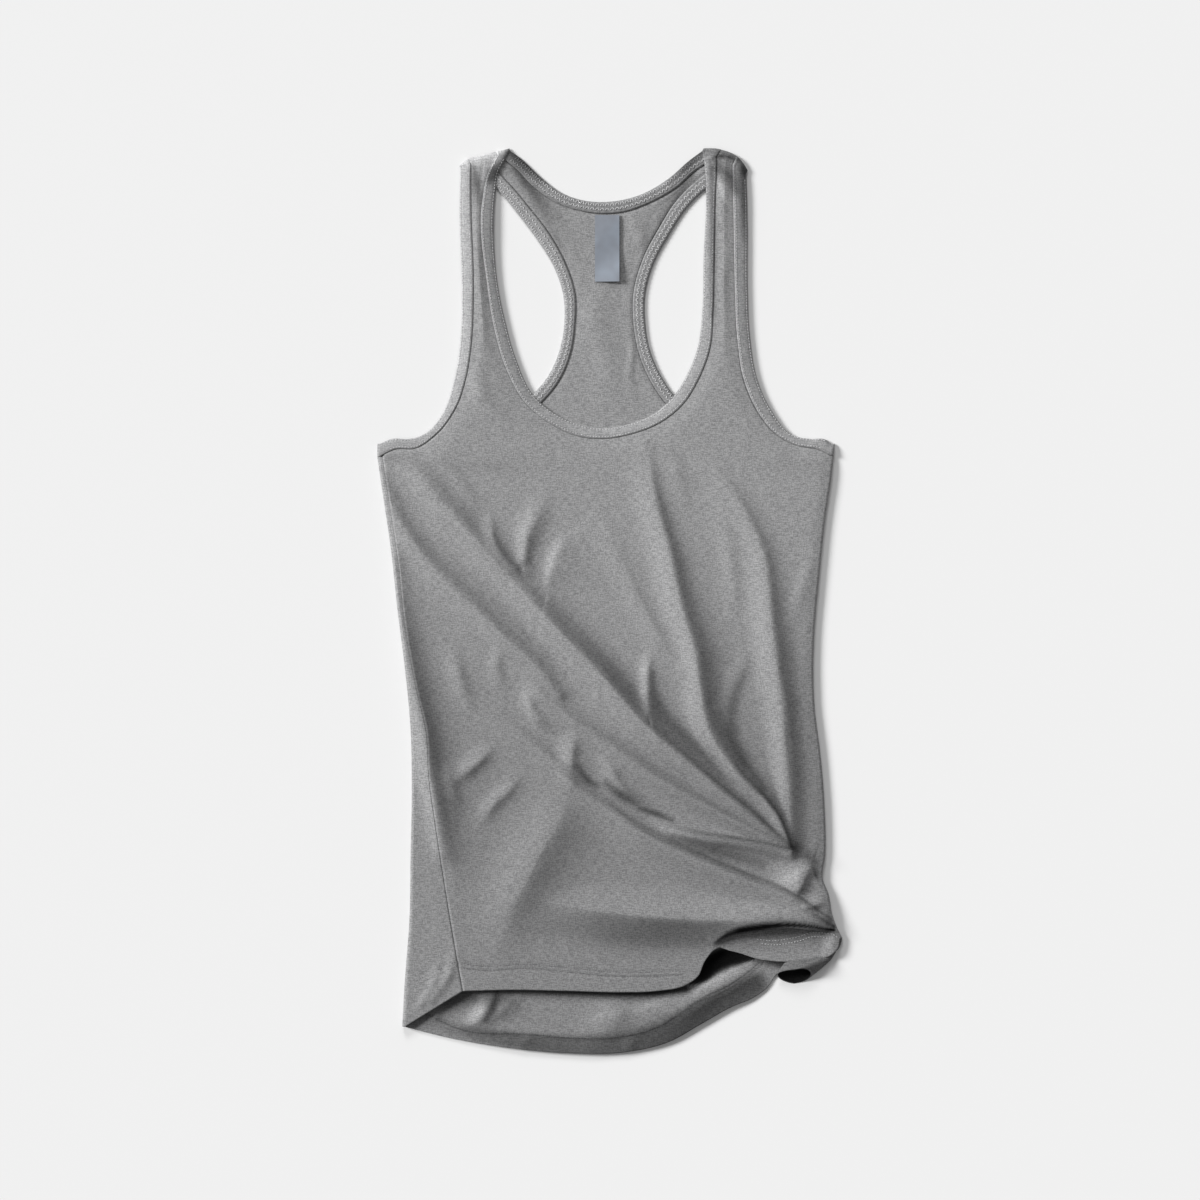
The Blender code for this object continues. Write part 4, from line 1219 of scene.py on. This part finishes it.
front_place, front_numbers = welded(front_grids())
front_quads = np.concatenate([quads(number) for number in front_numbers])
front_normals = point_normals(front_place, front_quads)
# Painted shade and painted light on the upper layer: darker towards the hem, in valleys beyond sharp folds,
# and along the shaded lines.
front_shade = hemward_painted_shade(front_place) * fold_shade(front_place[:, :2])
front_shade = front_shade * line_shade(front_place[:, :2], FRONT_SHADES)
front = make_piece(
    "front_panel_jersey",
    np.concatenate([front_place, front_place - WALL * front_normals]),
    closed_faces(front_numbers, len(front_place), 2),
    JERSEY,
    np.tile(front_shade, 2),
)
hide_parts("front_panel")


# ---------------------------------------------------------------- neck and arm bindings
# Strips of the same jersey, folded double over the raw edges of the openings and puffed
# by the fold. Each goes right round: over the front, round the fold and along the back.

BINDING_COLUMNS = 16
BINDING_LOW = 0.8  # thickness at its two edges
BINDING_PUFF = 1.7  # how much thicker it is in the middle
LOWER_PUFF = 1.3
RIDGE = (0.4, 0.90, 0.05)  # ridge beside the seam: height, place across and half width
EDGE_REST = 0.9  # height of its underside at the free edge and at the seam
SEAM_REST = 3.4
LOWER_WALL = 0.4
DOME = (3.2, 0.7)  # powers that flatten the dome's top and steepen its sides
FULLER_EDGE = (1.1, 0.25)  # fullness at the free edge, and how much is lost towards the seam
BINDING_TURN_STEPS = 8
STITCH_PLACES = (0.125, 0.8125)  # where the stitches run, as shares of the width
STITCH_DARKNESS = (0.26, 0.045)  # painted shade beside a row of stitches, where they draw the cloth in, and its half width
LOWER_TOP = 1  # what lies lower than this is the layer on the table
LOWER_TONE = 0.8
PAINTED_LIGHT_FROM = (140, 60)  # y from which a binding is painted paler, as painted light, and over what distance
# Painted light on the left arm binding along the strap, where the lamp strikes it.
LEFT_ARM_PAINTED_LIGHT = 0.28
BINDING_DARK = (0.2, 0.2, 0.204, 1)
BINDING_LIGHT = (0.36, 0.36, 0.362, 1)

BINDING = jersey("marl_binding", BINDING_DARK, BINDING_LIGHT, 0.6)


def puffed(count, puff):
    """Thickness across a binding: a flat dome, fuller at the free edge, and a ridge by the seam."""
    across = np.linspace(0, 1, count)
    dome = np.clip(1 - np.abs(2 * across - 1) ** DOME[0], 0, 1) ** DOME[1]
    ridge = RIDGE[0] * np.exp(-(((across - RIDGE[1]) / RIDGE[2]) ** 2))
    return BINDING_LOW + puff * dome * (FULLER_EDGE[0] - FULLER_EDGE[1] * across) + ridge


def binding_rows(stretch, upper):
    """One layer of a binding as both faces, the outer one last: up above, and down on the table."""
    xy = ruled(stretch[:, :2], stretch[:, 2:], BINDING_COLUMNS)
    if not upper:
        thick = puffed(BINDING_COLUMNS + 1, LOWER_PUFF)
        return stacked(raised(xy, LOWER_WALL + thick), raised(xy, 0))
    rest = np.linspace(EDGE_REST, SEAM_REST, BINDING_COLUMNS + 1)
    lift = fold_relief(xy[:, -1])[:, None]
    thick = puffed(BINDING_COLUMNS + 1, BINDING_PUFF)
    return stacked(raised(xy, rest + lift), raised(xy, rest + lift + thick))


def binding_loop(front, back, far_out, near_out):
    """Closed band: along the front, round the far fold, back below, and round the near fold."""
    over, under = binding_rows(front, True), binding_rows(back[::-1], False)
    far = turn_over(over[-1], far_out, under[0, :, 2], steps=BINDING_TURN_STEPS)
    near = turn_over(over[0], near_out, under[-1, :, 2], steps=BINDING_TURN_STEPS)[::-1]
    return np.concatenate([over, far[:-1], under, near[1:], over[:1]])


def make_binding(name, node, loop, painted_light=0.0):
    """A closed binding from its loop of both faces, its tone deeper where stitches draw it in.

    Its deeper tone there is painted shade. The last argument is painted light: how much
    paler the part along the strap is painted, where the lamp strikes it.
    """
    across = np.linspace(0, 1, loop.shape[1])
    darkness, half_width = STITCH_DARKNESS
    drawn_in = sum(np.exp(-(((across - row) / half_width) ** 2)) for row in STITCH_PLACES)
    # Painted light along the strap part, painted shade and light from the shoulder lines, and painted shade
    # beside the stitches.
    strap_part = smooth_step((loop[..., 1] - PAINTED_LIGHT_FROM[0]) / PAINTED_LIGHT_FROM[1])
    tone = (1 + painted_light * strap_part) * line_shade(loop[..., :2], SHOULDER_SHADES)
    tone *= np.where(loop[..., 5] < LOWER_TOP, LOWER_TONE, 1 - darkness * drawn_in)
    loop = np.concatenate([loop, tone[..., None]], axis=-1)
    pairs, numbers = welded([loop])
    piece = make_piece(
        name,
        np.concatenate([pairs[:, :3], pairs[:, 3:6]]),
        closed_faces(numbers, len(pairs), 1),
        BINDING,
        np.tile(pairs[:, 6], 2),
    )
    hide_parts(node)


def arm_loop(front, back, shoulder_out, side_out):
    """Loop of an armhole binding."""
    down = binding_stretch(front, shoulder_out, side_out, STRAP_ROWS + UNDERARM_COLUMNS + 1)
    rows = BACK_STRAP_ROWS + BACK_RACER_ROWS + BACK_UNDERARM_COLUMNS + 1
    along = binding_stretch(back, shoulder_out, side_out, rows)
    return binding_loop(down, along, side_out, shoulder_out)


NECK_FRONT_ROWS = 2 * STRAP_ROWS + 1
NECK_BACK_ROWS = 2 * BACK_STRAP_ROWS + 1
neck_front = binding_stretch(NECK_FRONT, LEFT_SHOULDER_OUT, RIGHT_SHOULDER_OUT, NECK_FRONT_ROWS)
neck_back = binding_stretch(NECK_BACK, LEFT_SHOULDER_OUT, RIGHT_SHOULDER_OUT, NECK_BACK_ROWS)
neck_loop = binding_loop(neck_front, neck_back, RIGHT_SHOULDER_OUT, LEFT_SHOULDER_OUT)
left_arm_loop = arm_loop(LEFT_ARM_FRONT, LEFT_ARM_BACK, LEFT_SHOULDER_OUT, LEFT_OUT)
right_arm_loop = arm_loop(RIGHT_ARM_FRONT, RIGHT_ARM_BACK, RIGHT_SHOULDER_OUT, RIGHT_OUT)
make_binding("neck_binding_jersey", "neck_binding", neck_loop)
make_binding("left_arm_binding_jersey", "left_arm_binding", left_arm_loop, LEFT_ARM_PAINTED_LIGHT)
make_binding("right_arm_binding_jersey", "right_arm_binding", right_arm_loop)


# --------------------------------------------------------------------- neck label
# A blank strip of woven satin, sewn into the back neck seam and hanging free below it.

LABEL_WIDTH = 20.5
LABEL_LENGTH = 56.0
LABEL_WALL = 0.25
LABEL_LIFT = 2.4  # the free end stands this much off the panel
LABEL_ASIDE = 2.0
LABEL_LAP = 1.0  # how far its top goes under the neck's seam
LABEL_REST = 1.0  # height of its seam end over the panel
LABEL_BOW = 0.8  # power of the share of the way down that it lifts with
LABEL_LEAN = (0.55, 0.9)  # share of the lift at its middle, and how much it grows to the right
LABEL_WAVE = (0.5, 7, 2)  # height of the wave, and its radians down the label and across it
LABEL_DARK = (0.19, 0.205, 0.235, 1)
LABEL_LIGHT = (0.235, 0.265, 0.31, 1)
LABEL_ROWS = 28
LABEL_COLUMNS = 12


def satin():
    """Blue-grey satin: fine threads across it, and a soft change of tone down its length."""
    material = bpy.data.materials.new("label_satin")
    shader = grey_shader(material, 0.3, 0.5)
    nodes, link = material.node_tree.nodes, material.node_tree.links.new
    place = nodes.new("ShaderNodeUVMap")
    place.uv_map = "cloth"
    threads = nodes.new("ShaderNodeTexWave")
    threads.bands_direction = "Y"
    threads.inputs["Scale"].default_value = 700
    threads.inputs["Distortion"].default_value = 1.5
    threads.inputs["Detail Scale"].default_value = 40
    patch = nodes.new("ShaderNodeTexNoise")
    patch.inputs["Scale"].default_value = 45
    tone = nodes.new("ShaderNodeValToRGB")
    tone.color_ramp.elements[0].position = 0.35
    tone.color_ramp.elements[0].color = LABEL_DARK
    tone.color_ramp.elements[1].position = 0.65
    tone.color_ramp.elements[1].color = LABEL_LIGHT
    relief = nodes.new("ShaderNodeBump")
    relief.inputs["Strength"].default_value = 0.25
    relief.inputs["Distance"].default_value = 0.0001
    link(place.outputs["UV"], threads.inputs["Vector"])
    link(place.outputs["UV"], patch.inputs["Vector"])
    link(patch.outputs["Fac"], tone.inputs["Fac"])
    link(tone.outputs["Color"], shader.inputs["Base Color"])
    link(threads.outputs["Fac"], relief.inputs["Height"])
    link(relief.outputs["Normal"], shader.inputs["Normal"])
    return material


def label_grid():
    """The label's two faces.

    It lifts with the share of the way down, most along its right side, and a slow wave
    runs down it.
    """
    middle = len(NECK_BACK["seam_x"]) // 2
    centre = NECK_BACK["seam_x"][middle] + LABEL_ASIDE
    start = NECK_BACK["seam_y"][middle] - LABEL_LAP
    down = np.linspace(0, 1, LABEL_ROWS + 1)[:, None]
    sideways = np.linspace(-0.5, 0.5, LABEL_COLUMNS + 1)[None]
    place = np.broadcast_arrays(centre + LABEL_WIDTH * sideways, start - LABEL_LENGTH * down)
    wave_height, turns_down, turns_across = LABEL_WAVE
    wave = wave_height * np.sin(turns_down * down + turns_across * sideways)
    lean = LABEL_LEAN[0] + LABEL_LEAN[1] * sideways
    lift = LABEL_LIFT * down**LABEL_BOW * lean + wave
    height = BACK_TOP + LABEL_REST + lift
    xy = np.stack(place, axis=-1)
    return stacked(raised(xy, height - LABEL_WALL), raised(xy, height))


label_pairs, label_numbers = welded([label_grid()])
label = make_piece(
    "neck_label_satin",
    np.concatenate([label_pairs[:, :3], label_pairs[:, 3:]]),
    closed_faces(label_numbers, len(label_pairs), 1),
    satin(),
)
label.data.set_sharp_from_angle(angle=0.9)
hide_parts("neck_label")


# ----------------------------------------------------------------------- hem roll
# The gathered end of the back hem, curled over into a flat tube. Its mouth looks out from
# under the front hem, cut back at the top, and its far end lies flat under the front.

ROLL_STEPS = 56
ROLL_ROWS = 30
ROLL_LEAN = 0.35  # how much fuller the top is to the right than in the middle
ROLL_BOW = 0.12  # how far its mouth curves back towards the sides
ROLL_PAINTED_SHADES = (0.03, 0.44)  # painted shade on its inside, nearly black, and on its outside
ROLL = table(
    "middle lip half_width half_height cut_back",
    (155, -321.5, 14.5, 6.0, 13.5),
    (158, -318, 16.0, 5.6, 12.0),
    (163, -312, 17.5, 4.4, 9.0),
    (168, -305, 18.5, 2.6, 5.0),
    (171, -298, 19.0, 1.5, 2.0),
)


def roll_grid():
    """Flat rings one behind the other, as both faces of the wall.

    Each ring's top lies further back than its lip on the table, by the cut-back.
    """
    paired = np.stack(list(ROLL.values()), axis=-1).repeat(2, axis=1)
    rows = spline(paired, ROLL_ROWS)[:, ::2]
    middle, lip, half_width, half_height, cut_back = (column[:, None] for column in rows.T)
    angle = np.linspace(0, 2 * np.pi, ROLL_STEPS + 1)[None]

    def ring(inset):
        """One face of the wall: an ellipse drawn in by the inset, fuller at the top right."""
        wide = (half_width - inset) * np.cos(angle)
        fuller = np.where(np.sin(angle) > 0, 1 + ROLL_LEAN * np.cos(angle), 1)
        tall = half_height + (half_height - inset) * np.sin(angle) * fuller
        back = lip + cut_back * tall / (2 * half_height) + ROLL_BOW * np.abs(wide)
        return raised(np.stack([middle + wide, back], axis=-1), tall)

    return stacked(ring(WALL), ring(0))


# The roll is painted with shade: nearly black inside and darker outside.
roll_pairs, roll_numbers = welded([roll_grid()])
roll = make_piece(
    "hem_roll_jersey",
    np.concatenate([roll_pairs[:, :3], roll_pairs[:, 3:]]),
    closed_faces(roll_numbers, len(roll_pairs), 1),
    JERSEY,
    np.repeat(ROLL_PAINTED_SHADES, len(roll_pairs)),
)
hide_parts("hem_roll")


# ------------------------------------------------------------------------ sewing
# Pale thread holds the bindings and the gathered flap, and grey thread the hems. A binding
# has two rows, which show as slanted loops on the back. The front hem shows two rows and
# the back hem one. Each stitch is a short lens of thread.

THREAD_WIDTH = 0.7
STITCH_LENGTH = 1.9
STITCH_PITCH = 2.5
LOOP_PITCH = 2.1
LOOP_LENGTH = 3.4
BACK_HEM_STITCH = 2.3
LENS_SIDES = 5
LENS_SHOULDER = 0.28  # share of a stitch's length from its middle to each ring
STITCH_COLUMNS = (2, BINDING_COLUMNS - 3)  # of a binding's points, counted from its free edge
LOOP_COLUMNS = ((4, 62), (10, 52))  # the same on the back, with the loops' lean in degrees
THREAD_LIFT = 0.05
LOOP_LIFT = 0.02
FLAP_LIFT = 0.15
HEM_POINTS = 120  # points along a row of hem stitches
FLAP_ROWS = (
    ((122, -283.5), (136.5, -285), (149.5, -283.5), (160, -281.5), (168, -278.5), (178, -278.5),
     (188, -280), (193, -284)),
    ((126, -287), (137, -288.5), (150, -287), (160, -285), (169, -282), (178, -282), (187, -283.5)),
)
PALE_THREAD = ((0.42, 0.42, 0.425, 1), (0.6, 0.6, 0.605, 1))  # dark and light fibres
GREY_THREAD = ((0.13, 0.13, 0.134, 1), (0.24, 0.24, 0.244, 1))
BINDING_THREAD = jersey("pale_thread", *PALE_THREAD, 0.2)
HEM_THREAD = jersey("grey_thread", *GREY_THREAD, 0.2)


def evenly(line, pitch):
    """Points of a line in space at an even pitch along it, and the line's direction at each."""
    length = np.concatenate([[0], np.cumsum(np.linalg.norm(np.diff(line, axis=0), axis=1))])
    at = np.arange(pitch, length[-1] - pitch, pitch)
    spots = np.stack([np.interp(at, length, column) for column in line.T], axis=-1)
    ways = np.gradient(spots, axis=0)
    return spots, ways / np.linalg.norm(ways, axis=1, keepdims=True)


def lenses(spots, ways, length):
    """A lens of thread at each spot: two pointed ends and two rings, as points and faces."""
    turn = np.linspace(0, 2 * np.pi, LENS_SIDES, endpoint=False)
    ring = np.stack([np.cos(turn), np.sin(turn)], axis=-1) * THREAD_WIDTH / 2
    flat = np.stack([-ways[:, 1], ways[:, 0], np.zeros(len(ways))], axis=-1)
    flat /= np.linalg.norm(flat, axis=1, keepdims=True)
    up = np.cross(ways, flat)
    rims = ring[:, 0, None, None] * flat + ring[:, 1, None, None] * up
    ends = [spots - ways * length / 2, spots + ways * length / 2]
    shares = (-LENS_SHOULDER, LENS_SHOULDER)
    rings = [spots + ways * length * share + rims for share in shares]
    place = np.concatenate([np.stack(ends), *rings]).swapaxes(0, 1)
    k, after = np.arange(LENS_SIDES), (np.arange(LENS_SIDES) + 1) % LENS_SIDES
    low, high = 2 + k, 2 + LENS_SIDES + k
    low_after, high_after = 2 + after, 2 + LENS_SIDES + after
    starts = (np.arange(len(spots)) * place.shape[1])[:, None, None]
    first_cap = np.stack([0 * k, low_after, low], axis=-1)
    last_cap = np.stack([0 * k + 1, high, high_after], axis=-1)
    caps = np.concatenate([first_cap, last_cap])
    sides = np.stack([low, low_after, high_after, high], axis=-1)
    threes = (caps + starts).reshape(-1, 3).tolist()
    fours = (sides + starts).reshape(-1, 4).tolist()
    return place.reshape(-1, 3), [*threes, *fours]


def sew(name, rows, length, thread, shades):
    """One piece of thread from rows of (spots, ways), in the shade of the cloth round it."""
    spots = np.concatenate([row[0] for row in rows])
    ways = np.concatenate([row[1] for row in rows])
    place, faces = lenses(spots, ways, length)
    # The thread takes the painted shade and painted light of the shaded lines round it.
    return make_piece(name, place, faces, thread, shade=line_shade(place[:, :2], shades))


def binding_row(loop, first, last, column, lift=THREAD_LIFT, outer=True, pitch=STITCH_PITCH):
    """Stitches along one column of a binding's rows, on its outer or its inner face."""
    line = loop[first:last, column, 3:] if outer else loop[first:last, column, :3]
    spots, ways = evenly(line, pitch)
    return spots + (0, 0, lift), ways


def crossed(row, angle):
    """The row's stitches turned left and right in turn by an angle, as on the back of a seam."""
    spots, ways = row
    lean = np.radians(angle) * np.where(np.arange(len(spots)) % 2, 1, -1)
    x = ways[:, 0] * np.cos(lean) - ways[:, 1] * np.sin(lean)
    y = ways[:, 0] * np.sin(lean) + ways[:, 1] * np.cos(lean)
    return spots, np.stack([x, y, 0 * x], axis=-1)


def hem_rows(line, height):
    """Two rows of stitches along a hem, on the height of the cloth there."""
    upper = spline(np.array(line, float), HEM_POINTS)
    way = np.gradient(upper, axis=0)
    way /= np.linalg.norm(way, axis=1, keepdims=True)
    lower = upper + ROW_GAP * np.stack([way[:, 1], -way[:, 0]], axis=-1)
    return [evenly(raised(row, height(row)), STITCH_PITCH) for row in (upper, lower)]


front_stitches, back_loops = [], []
arm_rows = STRAP_ROWS + UNDERARM_COLUMNS + 1
bound = ((neck_loop, NECK_FRONT_ROWS), (left_arm_loop, arm_rows), (right_arm_loop, arm_rows))
for loop, front_rows in bound:
    for column in STITCH_COLUMNS:
        front_stitches.append(binding_row(loop, 2, front_rows - 2, column))
    start = front_rows + BINDING_TURN_STEPS + 1
    end = -BINDING_TURN_STEPS - 3
    for column, lean in LOOP_COLUMNS:
        row = binding_row(loop, start, end, column, LOOP_LIFT, False, LOOP_PITCH)
        back_loops.append(crossed(row, lean))
sew("binding_stitches", front_stitches, STITCH_LENGTH, BINDING_THREAD, SHOULDER_SHADES)
sew("binding_loops", back_loops, LOOP_LENGTH, BINDING_THREAD, SHOULDER_SHADES)


def front_hem_height(xy):
    """Height of the front hem: the upper layer, and the hem's own extra layer on it."""
    return top_height(xy) + hem_rise(xy, FRONT_HEM_ROW)


def strip_hem_height(xy):
    """Height of the hem at the side that is turned over, in the same way."""
    return top_height(xy) + hem_rise(xy, STRIP_HEM_ROW)


hems = hem_rows(FRONT_HEM_ROW, front_hem_height)
hems = hems + hem_rows(STRIP_HEM_ROW[1:-1], strip_hem_height)
sew("front_hem_stitches", hems, STITCH_LENGTH, HEM_THREAD, FRONT_SHADES)
flap_rows = []
for line in FLAP_ROWS:
    spots, ways = evenly(raised(spline(np.array(line, float), SEAM_POINTS), 0), STITCH_PITCH)
    near = [np.argmin(np.linalg.norm(front_place[:, :2] - spot[:2], axis=1)) for spot in spots]
    flap_rows.append((raised(spots[:, :2], front_place[near, 2] + FLAP_LIFT), ways))
sew("flap_stitches", flap_rows, STITCH_LENGTH, BINDING_THREAD, FRONT_SHADES)
# Only the upper of the back hem's two rows shows.
back_hem_row = hem_rows(BACK_HEM_ROW[1:], back_height)[:1]
sew("back_hem_stitches", back_hem_row, BACK_HEM_STITCH, HEM_THREAD, BACK_SHADES)
